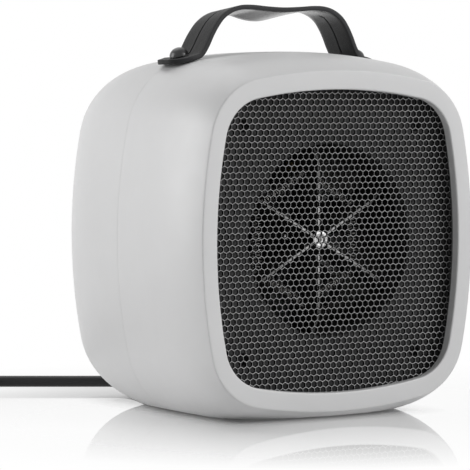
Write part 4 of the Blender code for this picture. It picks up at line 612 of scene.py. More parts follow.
def turned(name: str, profile: Sequence[Flat], centre: Vector, axis: Vector, sides: int = 32,
           sharp: float = 35.0) -> Piece:
    """A turned piece.

    Args:
        name: its name.
        profile: radius and height of each corner, closed on itself unless it starts on the axis.
        centre: where height 0 is.
        axis: direction of height.
        sides: steps round the axis.
        sharp: least angle of a sharp edge, in degrees.

    Returns:
        The object.
    """
    turn = axis.to_track_quat("Z", "Y").to_matrix()
    solid = profile[0][0] <= 0
    work = bmesh.new()
    rows = [[work.verts.new(centre + turn @ Vector((x, y, height))) for x, y in circle(radius, sides)]
            for radius, height in (profile[1:-1] if solid else profile)]
    for near, far in list(zip(rows, rows[1:])) + ([] if solid else [(rows[-1], rows[0])]):
        skin(work, near, far)
    for row, height in ((rows[0], profile[0][1]), (rows[-1], profile[-1][1])) if solid else ():
        tip = work.verts.new(centre + turn @ Vector((0, 0, height)))
        for i in range(sides):
            work.faces.new((row[i], row[i - 1], tip))
    return object_from(name, work, sharp)


def rod(name: str, start: Vector, end: Vector, radius: float, sides: int = 24) -> Piece:
    """A plain cutter of this radius between two points."""
    length = (end - start).length
    return turned(name, [(0, 0), (radius, 0), (radius, length), (0, length)], start, end - start, sides)


def box(name: str, low: Vector, high: Vector, edge: float = 0.0) -> Piece:
    """A block between two corners, with its edges eased.

    Args:
        name: its name.
        low: lowest corner.
        high: highest corner.
        edge: width of the easing.

    Returns:
        The object.
    """
    work = bmesh.new()
    size = high - low
    place = Matrix.Translation((low + high) / 2) @ Matrix.Diagonal((*size, 1))
    bmesh.ops.create_cube(work, size=1, matrix=place)
    if edge:
        bmesh.ops.bevel(work, geom=work.edges[:], offset=edge, segments=3, profile=0.5, affect="EDGES")
    return object_from(name, work, 40.0)


def evaluated(piece: Piece) -> bpy.types.Mesh:
    """A new mesh of a piece with its modifiers applied."""
    graph = bpy.context.evaluated_depsgraph_get()
    return bpy.data.meshes.new_from_object(piece.evaluated_get(graph))


def joined(name: str, pieces: Iterable[Piece]) -> Piece:
    """One object made of several, which are used up.

    Args:
        name: its name.
        pieces: the pieces.

    Returns:
        The object.
    """
    work = bmesh.new()
    for piece in list(pieces):
        mesh = evaluated(piece)
        work.from_mesh(mesh)
        bpy.data.objects.remove(piece, do_unlink=True)
        bpy.data.meshes.remove(mesh)
    return object_from(name, work)


def carve(target: Piece, cutter: Piece, how: Cut = Cut.AWAY, sharp: float = 30.0) -> None:
    """Cut a piece with a cutter or join it on, for good.

    Args:
        target: the piece.
        cutter: the cutter, which is used up.
        how: whether it is cut away or joined.
        sharp: least angle of a sharp edge, in degrees.
    """
    change = target.modifiers.new(cutter.name, "BOOLEAN")
    change.operation = how.value
    change.solver = "EXACT"
    change.object = cutter
    mesh = evaluated(target)
    target.modifiers.clear()
    old = target.data
    target.data = mesh
    bpy.data.meshes.remove(old)
    bpy.data.objects.remove(cutter, do_unlink=True)
    mesh.name = target.name
    smoothed(mesh, sharp)


def smooth_path(points: Iterable[Sequence[float]], per_span: int) -> Points:
    """A smooth curve through points, turning at each with its neighbours.

    Args:
        points: the points to pass.
        per_span: steps from one to the next.

    Returns:
        Points along the curve.
    """
    stops = [Vector(point) for point in points]
    path: Points = []
    for i in range(len(stops) - 1):
        before, start, end = stops[max(i - 1, 0)], stops[i], stops[i + 1]
        after = stops[min(i + 2, len(stops) - 1)]
        reach = (end - start).length / 3
        first = start + (end - before).normalized() * reach
        last = end - (after - start).normalized() * reach
        path.extend(interpolate_bezier(start, first, last, end, per_span + 1)[:-1])
    return path + [stops[-1]]


def heading(path: Sequence[Vector], index: int) -> Vector:
    """The way that a path runs at one of its points, from the one before to the one after."""
    return path[min(index + 1, len(path) - 1)] - path[max(index - 1, 0)]


def softened(share: float) -> float:
    """A share that starts and ends gently."""
    return share * share * (3 - 2 * share)


def piped(name: str, points: Sequence[Vector], radius: float, resolution: int = 6) -> Piece:
    """A round wire or cord along points.

    Args:
        name: its name.
        points: its centre line.
        radius: its radius.
        resolution: fineness of its section.

    Returns:
        The curve object.
    """
    curve = bpy.data.curves.new(name, "CURVE")
    curve.dimensions = "3D"
    curve.bevel_depth = radius
    curve.bevel_resolution = resolution
    curve.use_fill_caps = True
    spline = curve.splines.new("POLY")
    spline.points.add(len(points) - 1)
    for place, point in zip(points, spline.points):
        point.co = (*place, 1)
    return placed(name, curve)


def fit(piece: Piece, finish: Finish, *nodes: str, body: Body = Body.HOUSING) -> Piece:
    """Dress a piece, put it on its body and let it stand for CAD nodes.

    Args:
        piece: the piece, in place.
        finish: its finish.
        nodes: the CAD nodes it stands for.
        body: the body it rides on.

    Returns:
        The piece.
    """
    piece.data.materials.clear()
    piece.data.materials.append(finish.material())
    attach(piece, body.value)
    if nodes:
        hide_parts(*nodes)
    log.info("%s in %s on %s", piece.name, finish.name, body.value)
    return piece


def dress(finish: Finish, *nodes: str) -> None:
    """Give CAD nodes that stay as they are a finish.

    Args:
        finish: the finish.
        nodes: the nodes.
    """
    for node in nodes:
        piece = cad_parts[node]
        for holder in piece.material_slots:
            holder.material = finish.material()
        smoothed(piece.data, 35.0)
        log.info("%s in %s as it comes", node, finish.name)


# Casing


@dataclass
class Casing:
    """The two-piece casing and the bezel round its mouth."""

    face_y: float = -0.076795
    centre: float = 0.0904
    face: Triple = (0.0820, 0.0862, 0.0325)
    belly: Triple = (0.0893, 0.0964, 0.0420)
    rear_inset: float = 0.0270
    rear_corner: float = 0.0230
    side_arc: float = 0.2780
    depth: float = 0.1500
    seam: float = 0.0720
    seam_gap: float = 0.00005
    seam_edge: float = 0.00008
    wall: float = 0.0024
    underside: float = 0.0012
    bulge: float = 4.1
    rear_bulge: float = 2.5
    front_rings: int = 26
    front_crowding: float = 1.7
    inner_shares: tuple[float, ...] = (1.0, 0.7, 0.45, 0.25, 0.14, 0.07)
    rear_rings: int = 30
    steps: tuple[int, int, int] = (12, 18, 12)
    lip: float = 0.0006
    press_gap: float = 0.00002
    edge: float = 0.00035
    bezel_thickness: float = 0.0022
    mouth: Rounded = (0.0734, 0.0766, 0.2690, 0.0236)
    mouth_wall: float = 0.0020
    mouth_depth: float = 0.0035
    mouth_round: float = 0.0009
    inner_lip: Flat = (0.0048, 0.0006)
    least_lip: float = 0.0001

    def at(self, depth: float) -> float:
        """World Y of a place this far behind the face."""
        return self.face_y + depth

    def point(self, x: float, depth: float, up: float | None = None) -> Vector:
        """A place across, behind the face and above the floor, at the mouth's centre if not told how high."""
        return Vector((x, self.at(depth), self.centre if up is None else up))

    def laid(self, outline: Iterable[Flat], depth: float) -> Points:
        """An outline about the mouth's centre, stood up this far behind the face."""
        return [self.point(x, depth, self.centre + z) for x, z in outline]

    def outline(self, wide: float, high: float, side: float, corner: float) -> list[Flat]:
        """A rounded rectangle whose sides are shallow arcs.

        Args:
            wide: half width.
            high: half height.
            side: radius of the sides.
            corner: radius of the corners.

        Returns:
            Points from +X round to +X.
        """
        side_centre, top_centre = (wide - side, 0.0), (0.0, high - side)
        reach = side - corner
        span = math.hypot(side_centre[0], top_centre[1])
        rise = math.sqrt(reach ** 2 - (span / 2) ** 2)
        middle = (side_centre[0] / 2 - top_centre[1] / span * rise,
                  top_centre[1] / 2 - side_centre[0] / span * rise)
        low = math.atan2(middle[1], middle[0] - side_centre[0])
        high_angle = math.atan2(middle[1] - top_centre[1], middle[0])
        arcs = ((side_centre, side, 0.0, low), (middle, corner, low, high_angle),
                (top_centre, side, high_angle, math.pi / 2))
        right = []
        for count, (centre, radius, first, last) in zip(self.steps, arcs):
            for i in range(count):
                angle = first + (last - first) * i / count
                right.append((centre[0] + radius * math.cos(angle), centre[1] + radius * math.sin(angle)))
        right.append((0.0, high))
        upper = right[:-1] + [(-x, z) for x, z in reversed(right)][:-1]
        return upper + [(-x, -z) for x, z in upper]

    def section(self, depth: float, inset: float = 0.0) -> Rounded:
        """Half width, half height and radii of the casing at a depth.

        Args:
            depth: distance behind the face.
            inset: distance in from the outer skin.

        Returns:
            Half width, half height, side radius and corner radius.
        """
        if depth <= self.seam:
            share = 1 - (1 - max(depth, 0.0) / self.seam) ** self.bulge
            wide, high, corner = (a + (b - a) * share for a, b in zip(self.face, self.belly))
        else:
            along = min((depth - self.seam) / (self.depth - inset - self.seam), 1)
            share = 1 - (1 - along ** self.rear_bulge) ** (1 / self.rear_bulge)
            wide, high = (size - self.rear_inset * share for size in self.belly[:2])
            corner = self.belly[2] + (self.rear_corner - self.belly[2]) * share
        return wide - inset, high - inset, self.side_arc - inset, corner - inset

    def ring(self, depth: float, inset: float = 0.0) -> Points:
        """The casing's section at a depth, drawn in from its skin and cut flat along its underside."""
        floor = self.underside + inset
        return [self.point(x, depth, max(self.centre + z, floor))
                for x, z in self.outline(*self.section(depth, inset))]

    def whole_ring(self, depth: float, inset: float) -> Points:
        """The face's outline, drawn in from its skin and carried straight back."""
        return self.laid(self.outline(*self.section(0.0, inset)), depth)

    def mouth_outline(self, grow: float) -> list[Flat]:
        """The mouth's outline about its centre, grown by a distance."""
        return self.outline(*(size + grow for size in self.mouth))

    def mouth_ring(self, depth: float, grow: float) -> Points:
        """The mouth's outline at a depth, grown by a distance."""
        return self.laid(self.mouth_outline(grow), depth)

    def top(self, x: float, depth: float) -> float:
        """Height of the casing's top.

        Args:
            x: place across it.
            depth: distance behind the face.

        Returns:
            The height.
        """
        ring = self.ring(depth)
        heights = []
        for first, second in zip(ring, ring[1:] + ring[:1]):
            if (first.x - x) * (second.x - x) <= 0 and first.x != second.x:
                share = (x - first.x) / (second.x - first.x)
                heights.append(first.z + share * (second.z - first.z))
        return max(heights)

    def build_front(self) -> Piece:
        """The front shell, its lip eased and its rear edge finely rounded.

        Returns:
            The shell.
        """
        edge, seam, count = self.edge, self.seam, self.front_rings
        pocket = self.bezel_thickness + FIT_GAP
        places = [(0.0, edge), (edge * 0.3, edge * 0.3), (edge, 0.0)]
        places += [(seam * (i / count) ** self.front_crowding, 0.0) for i in range(2, count)]
        places += [(seam - self.seam_edge, 0.0), (seam, self.seam_edge)]
        places += [(seam * share, self.wall) for share in self.inner_shares]
        places += [(pocket, self.wall), (pocket, self.lip), (0.0, self.lip)]
        return loft("shell_front", [self.ring(*place) for place in places], closed=True)

    def build_rear(self) -> Piece:
        """The rear shell before its holes are cut.

        Returns:
            The shell.
        """
        edge, start, count = self.edge, self.seam + self.seam_gap, self.rear_rings
        outer = [self.ring(start, self.seam_edge), self.ring(start + self.seam_edge)]
        inner = [self.ring(start, self.wall)]
        for i in range(1, count + 1):
            along = math.sin(math.pi / 2 * i / count) ** (2 / self.rear_bulge)
            outer.append(self.ring(max(self.seam + along * (self.depth - self.seam), start + edge)))
            if i % 2 == 0:
                inner.append(self.ring(max(self.seam + along * (self.depth - self.wall - self.seam),
                                           start + edge), self.wall))
        return loft("shell_rear", outer[::-1] + inner)

    def lip_ring(self, grow: float, mesh_depth: Depths) -> Points:
        """The far end of the bezel's inner lip, which stops short of the mesh.

        Args:
            grow: distance outwards.
            mesh_depth: depth of the mesh at a place.

        Returns:
            The points.
        """
        points = []
        for x, z in self.mouth_outline(grow):
            depth = min(self.inner_lip[0], mesh_depth(x, z) - FIT_GAP)
            points.append(self.point(x, max(depth, self.mouth_depth + self.least_lip), self.centre + z))
        return points

    def build_bezel(self, mesh_depth: Depths) -> Piece:
        """The flat bezel, a press fit in the lip, with a rounded mouth and a thin inner lip.

        Args:
            mesh_depth: depth of the mesh at a place.

        Returns:
            The bezel.
        """
        back, fillet, wall = self.bezel_thickness, self.mouth_round, self.inner_lip[1]
        rings = [self.whole_ring(depth, self.lip + self.press_gap) for depth in (back, 0.0)]
        rings += [self.mouth_ring(fillet * (1 - c), fillet * (1 - s)) for c, s in quarter(6)]
        rings += [self.lip_ring(grow, mesh_depth) for grow in (0.0, wall)]
        rings += [self.mouth_ring(*place) for place in (
            (self.mouth_depth, wall), (self.mouth_depth, self.mouth_wall), (back, self.mouth_wall))]
        return loft("bezel", rings, closed=True, sharp=50.0)

    def build(self, rear_cutters: Iterable[Piece], posts: Iterable[Piece],
              front_cutters: Iterable[Piece], mesh_depth: Depths) -> None:
        """Build, cut and dress the casing.

        Args:
            rear_cutters: what is cut out of the rear shell.
            posts: what is joined to the rear shell first.
            front_cutters: what is cut out of the front shell.
            mesh_depth: depth of the mesh at a place.
        """
        front, rear = self.build_front(), self.build_rear()
        for shell, tools, how in ((rear, posts, Cut.JOIN), (rear, rear_cutters, Cut.AWAY),
                                  (front, front_cutters, Cut.AWAY)):
            for tool in tools:
                carve(shell, tool, how)
        fit(front, CASING_GREY, "front_shell")
        fit(rear, CASING_GREY, "rear_shell")
        fit(self.build_bezel(mesh_depth), CASING_GREY, "front_bezel")


# Mesh front


@dataclass
class MeshFront:
    """The dished sheet of hexagonal holes with its rim turned forward."""

    casing: Casing
    depth: float = 0.0085
    thickness: float = 0.0007
    dish_side: float = 0.0015
    dish_top: float = 0.0040
    rim: float = 0.0008
    pitch: float = 0.0035
    web: float = 0.00100
    crest: float = 0.00027
    side_crest: float = 0.00012
    shoulder: float = 0.00045
    origin: Flat = (0.0009, 0.0004)
    sheet_grow: float = 0.0014
    rim_grow: float = 0.0017

    def dish(self, x: float, z: float) -> float:
        """How far behind the face the sheet's front lies, at a place about its centre."""
        wide, high = self.casing.mouth[:2]
        return self.depth - self.dish_side * (x / wide) ** 2 - self.dish_top * (z / high) ** 2

    def on_dish(self, x: float, z: float, behind: float) -> Vector:
        """A place on the dish, this far behind the sheet's front."""
        return self.casing.point(x, self.dish(x, z) + behind, self.casing.centre + z)

    def dished_ring(self, grow: float, behind: float) -> Points:
        """The mouth's outline, grown and laid this far behind the sheet's front."""
        return [self.on_dish(x, z, behind) for x, z in self.casing.mouth_outline(grow)]

    @staticmethod
    def clipped(polygon: list[Flat], outline: Sequence[Flat]) -> list[Flat]:
        """The part of a polygon inside a convex outline.

        Args:
            polygon: the polygon.
            outline: the outline, anticlockwise.

        Returns:
            The part inside, empty if there is none.
        """
        for (ax, az), (bx, bz) in zip(outline, [*outline[1:], outline[0]]):
            kept: list[Flat] = []
            sides = [(bx - ax) * (z - az) - (bz - az) * (x - ax) for x, z in polygon]
            if min(sides) >= 0:
                continue
            for i, (x, z) in enumerate(polygon):
                px, pz = polygon[i - 1]
                if (sides[i] >= 0) != (sides[i - 1] >= 0):
                    share = sides[i - 1] / (sides[i - 1] - sides[i])
                    kept.append((px + (x - px) * share, pz + (z - pz) * share))
                if sides[i] >= 0:
                    kept.append((x, z))
            polygon = kept
            if len(polygon) < 3:
                return []
        return polygon

    @staticmethod
    def drawn_in(x: float, z: float, outline: Sequence[Flat]) -> Flat:
        """A point, moved onto a convex outline if it lies outside.

        Args:
            x: place across.
            z: place up.
            outline: the outline, anticlockwise.

        Returns:
            The point.
        """
        for (ax, az), (bx, bz) in zip(outline, [*outline[1:], outline[0]]):
            run_x, run_z = bx - ax, bz - az
            length = math.hypot(run_x, run_z)
            off = (run_x * (z - az) - run_z * (x - ax)) / length
            if off < 0:
                x, z = x + off * run_z / length, z - off * run_x / length
        return x, z

    def build_sheet(self) -> Piece:
        """The perforated sheet: each hexagon's crest, shoulder, wall and back.

        Returns:
            The sheet.
        """
        outline = self.casing.mouth_outline(self.sheet_grow)
        wide, high = (max(point[i] for point in outline) for i in (0, 1))
        cell, crest, hole = (circle((self.pitch - less) / math.sqrt(3), 6, math.pi / 6)
                             for less in (0.0, self.crest, self.web))
        narrow = (self.pitch - self.side_crest) / (self.pitch - self.crest)
        crest = [(x * narrow, z) for x, z in crest]
        row_pitch = self.pitch * math.sqrt(3) / 2
        layers = ((cell, 0.0), (crest, 0.0), (hole, self.shoulder), (hole, self.thickness),
                  (cell, self.thickness))
        work = bmesh.new()
        found: dict[tuple[int, ...], bmesh.types.BMVert] = {}

        def corner(x: float, z: float, behind: float) -> bmesh.types.BMVert:
            """A welded corner, this far behind the sheet's front."""
            key = tuple(round(part * WELDS_PER_METRE) for part in (x, z, behind))
            if key not in found:
                found[key] = work.verts.new(self.on_dish(x, z, behind))
            return found[key]

        rows, columns = math.ceil(high / row_pitch) + 1, math.ceil(wide / self.pitch) + 1
        for row in range(-rows, rows + 1):
            for column in range(-columns, columns + 1):
                x0 = (column + (row % 2) / 2) * self.pitch + self.origin[0]
                z0 = row * row_pitch + self.origin[1]
                if not self.clipped([(x0 + x, z0 + z) for x, z in cell], outline):
                    continue
                for (near, lift), (far, drop) in zip(layers, layers[1:]):
                    for i in range(6):
                        ends = ((near[i - 1], lift), (near[i], lift), (far[i], drop), (far[i - 1], drop))
                        corners = list(dict.fromkeys(
                            corner(*self.drawn_in(x0 + x, z0 + z, outline), behind)
                            for (x, z), behind in ends))
                        if len(corners) > 2 and not work.faces.get(corners):
                            work.faces.new(corners)
        return object_from("mesh_sheet", work)

    def build(self) -> None:
        """Build and dress the sheet and its rim."""
        flat, dished = self.casing.mouth_ring, self.dished_ring
        start = self.casing.mouth_depth + FIT_GAP
        outer, inner, fillet = self.rim_grow, self.rim_grow - self.rim, self.rim / 2
        rings = [flat(start, outer), dished(outer, self.thickness), dished(inner, self.thickness),
                 dished(inner, -fillet), flat(start + fillet / 2, inner),
                 flat(start, inner + fillet / 2)]
        fit(self.build_sheet(), MESH_PAINTED_LIGHT, "front_grille")
        fit(loft("mesh_rim", rings, closed=True), RIM_GREY)


# Baffle, duct and element


@dataclass
class Baffle:
    """The dark plate behind the mesh, with its collar, its screw wells and the screws in them."""

    casing: Casing
    mesh: MeshFront
    depth: float = 0.0102
    thickness: float = 0.0018
    rim: float = 0.0014
    collar: float = 0.0490
    collar_wall: float = 0.0016
    collar_length: float = 0.0080
    collar_round: float = 0.0010
    well_x: float = 0.0524
    well_z: float = 0.0584
    well_radius: float = 0.0034
    well_wall: float = 0.0014
    well_depth: float = 0.0050
    well_floor: float = 0.0025
    well_clear: float = 0.0030
    post_radius: float = 0.0040
    screw_length: float = 0.0140
    screw_radius: float = 0.0015

    def wells(self) -> list[tuple[str, float, float]]:
        """Name, place across and height of each well."""
        return [(("left" if sx < 0 else "right") + ("_low" if sz < 0 else "_high"),
                 sx * self.well_x, self.casing.centre + sz * self.well_z) for sx in (-1, 1) for sz in (-1, 1)]

    def post_start(self) -> float:
        """Depth at which the rear shell's posts meet the wells."""
        return self.depth + self.well_depth + self.well_floor + FIT_GAP

    def posts(self) -> list[Piece]:
        """The posts that the rear shell grows for the screws."""
        casing = self.casing
        return [rod("post_" + name, casing.point(x, self.post_start(), z),
                    casing.point(x, casing.depth - casing.wall / 2, z), self.post_radius)
                for name, x, z in self.wells()]

    def bores(self) -> list[Piece]:
        """Cutters for the bores in the posts."""
        start = self.post_start()
        return [rod("bore_" + name, self.casing.point(x, start - CUT_PAST, z),
                    self.casing.point(x, start + self.screw_length, z),
                    self.screw_radius + FIT_GAP, 16) for name, x, z in self.wells()]

    def ring(self, radius: float, depth: float) -> Points:
        """A circle about the fan axis at a depth, with as many points as the mouth's outline."""
        return self.casing.laid(circle(radius, 4 * sum(self.casing.steps)), depth)

    def build_plate(self) -> Piece:
        """The plate with its rounded collar and its wells.

        Returns:
            The plate.
        """
        casing, mesh = self.casing, self.mesh
        grow = casing.mouth_wall - FIT_GAP
        back = self.depth + self.thickness
        behind = mesh.thickness + FIT_GAP
        outer, fillet = self.collar + self.collar_wall, self.collar_round
        end = back + self.collar_length
        places = [(outer, back), (outer, end), (self.collar, end)]
        places += [(self.collar + fillet * (1 - c), self.depth + fillet * (1 - s)) for c, s in quarter(5)]
        rings = [mesh.dished_ring(grow, behind), casing.mouth_ring(back, grow)]
        rings += [self.ring(*place) for place in places]
        rings += [casing.mouth_ring(self.depth, grow - self.rim), mesh.dished_ring(grow - self.rim, behind)]
        plate = loft("baffle", rings, closed=True)
        floor_depth = self.depth + self.well_depth
        for name, x, z in self.wells():
            front, floor, rear = (casing.point(x, depth, z) for depth in (
                self.depth + self.thickness / 2, floor_depth, floor_depth + self.well_floor))
            carve(plate, rod("barrel_" + name, front, rear, self.well_radius + self.well_wall), Cut.JOIN)
            carve(plate, rod("well_" + name, front + FORWARD * self.well_clear, floor, self.well_radius))
            carve(plate, rod("hole_" + name, floor + FORWARD * CUT_PAST, rear + BACK * CUT_PAST,
                             self.screw_radius + FIT_GAP, 16))
        return plate

    def build(self) -> None:
        """Build and dress the plate and its screws."""
        fit(self.build_plate(), BAFFLE_BLACK, "baffle_plate")
        seat = self.depth + self.well_depth - FIT_GAP
        screw = CrossScrew(self.well_floor + self.screw_length - FIT_GAP)
        for name, x, z in self.wells():
            fit(screw.build("well_screw_" + name, self.casing.point(x, seat, z), BACK), SCREW_DARK,
                "housing_screw_" + name)


@dataclass
class CrossScrew:
    """A pan-head screw with a cross recess and a threaded shank."""

    length: float
    head: float = 0.0028
    height: float = 0.0020
    dome: Flat = (0.72, 0.5)
    radius: float = 0.0015
    pitch: float = 0.0006
    core: float = 0.78
    tip: Flat = (0.7, 0.6)
    recess: Triple = (1.1, 0.26, 0.98)

    def profile(self) -> list[Flat]:
        """Its outline from the top of the head to the tip.

        Returns:
            Radius and height of each corner.
        """
        head, height, radius, (flat, edge) = self.head, self.height, self.radius, self.dome
        points: list[Flat] = [(0.0, height)]
        points += [(head * (flat + (1 - flat) * c), height * (edge + (1 - edge) * s))
                   for c, s in reversed(quarter(4))]
        points += [(head, 0.0), (radius, 0.0)]
        for i in range(int((self.length - 2 * radius) / self.pitch)):
            reach = -radius - i * self.pitch
            points += [(radius, reach), (radius * self.core, reach - self.pitch / 2)]
        wide, high = self.tip
        return points + [(radius * wide, -self.length + radius * high), (0.0, -self.length)]

    def build(self, name: str, seat: Vector, into: Vector) -> Piece:
        """Build it in place.

        Args:
            name: its name.
            seat: where its head seats.
            into: direction of the shank.

        Returns:
            The screw.
        """
        screw = turned(name, self.profile(), seat, -into, 20)
        turn = (-into).to_track_quat("Z", "Y").to_matrix().to_4x4()
        long, wide, lift = self.recess
        size = (self.head * long, self.head * wide, self.height, 1)
        for i in range(2):
            work = bmesh.new()
            spin = Matrix.Rotation(math.pi / 2 * i, 4, "Z")
            place = Matrix.Translation(seat) @ turn @ Matrix.Translation((0, 0, self.height * lift)) @ spin
            bmesh.ops.create_cube(work, size=1, matrix=place @ Matrix.Diagonal(size))
            carve(screw, object_from("recess", work))
        return screw


@dataclass
class Element:
    """The duct, the crossing mica plates, the heating coil on them and its protectors."""

    casing: Casing
    hub_radius: float = 0.0044
    hub_length: float = 0.0014
    hub_depth: float = 0.0202
    hub_bore: float = 0.0012
    hub_shares: tuple[Flat, ...] = ((0.45, 0.72), (0.60, 0.95), (0.72, 1), (0.88, 0.96), (1, 0.78), (1, 0))
    ring_radius: float = 0.0340
    coil_depth: float = 0.0340
    curl: float = 0.0028
    wire: float = 0.00028
    curls_per_side: int = 20
    points_per_curl: int = 12
    corner_run: float = 0.0022
    lead: float = 0.0090
    arms: int = 6
    mica_half: tuple[Flat, ...] = ((0.0506, 0.0460), (0.0506, 0.0285), (0.0499, 0.0268),
                                   (0.0396, 0.0208), (0.0378, 0.0205))
    mica_thickness: float = 0.0014
    mica_bevel: float = 0.00012
    mica_hole: float = 0.0020
    duct_inner: float = 0.0512
    duct_wall: float = 0.0012
    duct_span: Flat = (0.0126, 0.0760)
    duct_flange: float = 0.0050
    bolt_hole: Flat = (0.0018, 0.0040)

    def corner(self, index: int) -> Vector:
        """A corner of the coil's hexagon about the fan axis, the first one at the top."""
        angle = math.pi / 2 - math.tau * index / self.arms
        return Vector((self.ring_radius * math.cos(angle), 0, self.ring_radius * math.sin(angle)))

    def coil_path(self) -> Points:
        """The wire's centre line: curls along six sides, crossing each plate in its hole.

        Returns:
            The points.
        """
        centre = self.casing.point(0, self.coil_depth)
        points = []
        for side in range(self.arms):
            start, end = self.corner(side), self.corner(side + 1)
            along = (end - start).normalized()
            outward = along.cross(BACK)
            margin = along * self.corner_run
            first = start + margin * (0 if side == 0 else 1)
            last = end - margin * (0 if side == self.arms - 1 else 1)
            count = self.curls_per_side * self.points_per_curl
            for i in range(count + 1):
                turn = math.tau * self.curls_per_side * i / count
                radial = outward * math.cos(turn) + BACK * math.sin(turn)
                points.append(centre + first.lerp(last, i / count) + radial * self.curl)
        return [points[0] + BACK * self.lead] + points + [points[-1] + BACK * self.lead]

    def build_hub(self) -> Piece:
        """The bright hub washer with a dished middle.

        Returns:
            The hub.
        """
        face = [(self.hub_radius * out, self.hub_length * up) for out, up in self.hub_shares]
        profile = [(self.hub_bore, face[0][1]), *face, (self.hub_bore, 0)]
        return turned("hub_washer", profile, self.casing.point(0, self.hub_depth), FORWARD, 40)

    def build_mica(self) -> Piece:
        """The crossing mica plates, each with a hole at both sides for the coil.

        Returns:
            The plates, joined.
        """
        middle = self.casing.point(0, 0.0)
        outline = list(self.mica_half) + [(-reach, depth) for reach, depth in reversed(self.mica_half)]
        half, bevel = self.mica_thickness / 2, self.mica_bevel
        plates = []
        for index in range(self.arms // 2):
            angle = math.pi / 2 + math.tau * index / self.arms
            out = Vector((math.cos(angle), 0, math.sin(angle)))
            across = out.cross(BACK)
            rings = []
            for offset, inset in ((-half, bevel), (bevel - half, 0.0), (half - bevel, 0.0), (half, bevel)):
                rings.append([middle + across * offset + out * (reach - math.copysign(inset, reach))
                              + BACK * (depth + (inset if depth < self.coil_depth else -inset))
                              for reach, depth in outline])
            plate = loft("mica_plate", rings, sharp=35.0)
            for side in Side:
                place = middle + out * side.value * self.ring_radius + BACK * self.coil_depth
                through = across * CUT_PAST
                carve(plate, rod("coil_hole", place - through, place + through, self.mica_hole, 20))
            plates.append(plate)
        for other in plates[1:]:
            carve(plates[0], other, Cut.JOIN, 35.0)
        return plates[0]

    def build_duct(self) -> Piece:
        """The round duct with its rolled front edge and flange.

        Returns:
            The duct.
        """
        inner, outer = self.duct_inner, self.duct_inner + self.duct_wall
        start, end = self.duct_span
        length, wall = end - start, self.duct_wall
        profile = [(outer, length), (outer, 2 * wall), (outer + wall, wall),
                   (outer + self.duct_flange, wall), (outer + self.duct_flange, 0), (inner, 0),
                   (inner, length - wall / 2), (inner + wall / 2, length)]
        duct = turned("duct_shell", profile, self.casing.point(0, end), FORWARD, 72)
        radius, reach = self.bolt_hole
        for side in Side:
            near = self.casing.point(side.value * (outer + self.duct_flange / 2), end - reach)
            carve(duct, rod("duct_hole", near, near + BACK * 2 * reach, radius, 16))
        return duct

    def build(self) -> None:
        """Build and dress the duct and all that it carries."""
        fit(self.build_duct(), DUCT_STEEL, "air_duct")
        fit(self.build_hub(), HUB_BRIGHT, "element_hub")
        coil = piped("curled_wire", self.coil_path(), self.wire, 2)
        fit(coil, COIL_WIRE, "heating_coil")
        fit(self.build_mica(), MICA_SHEET, "mica_frame")
        dress(BRASS, "element_terminal_left", "element_terminal_right")
        dress(SWITCH_BLACK, "thermal_cutout")
        dress(TURNED_STEEL, "thermal_fuse")


# Fan and motor


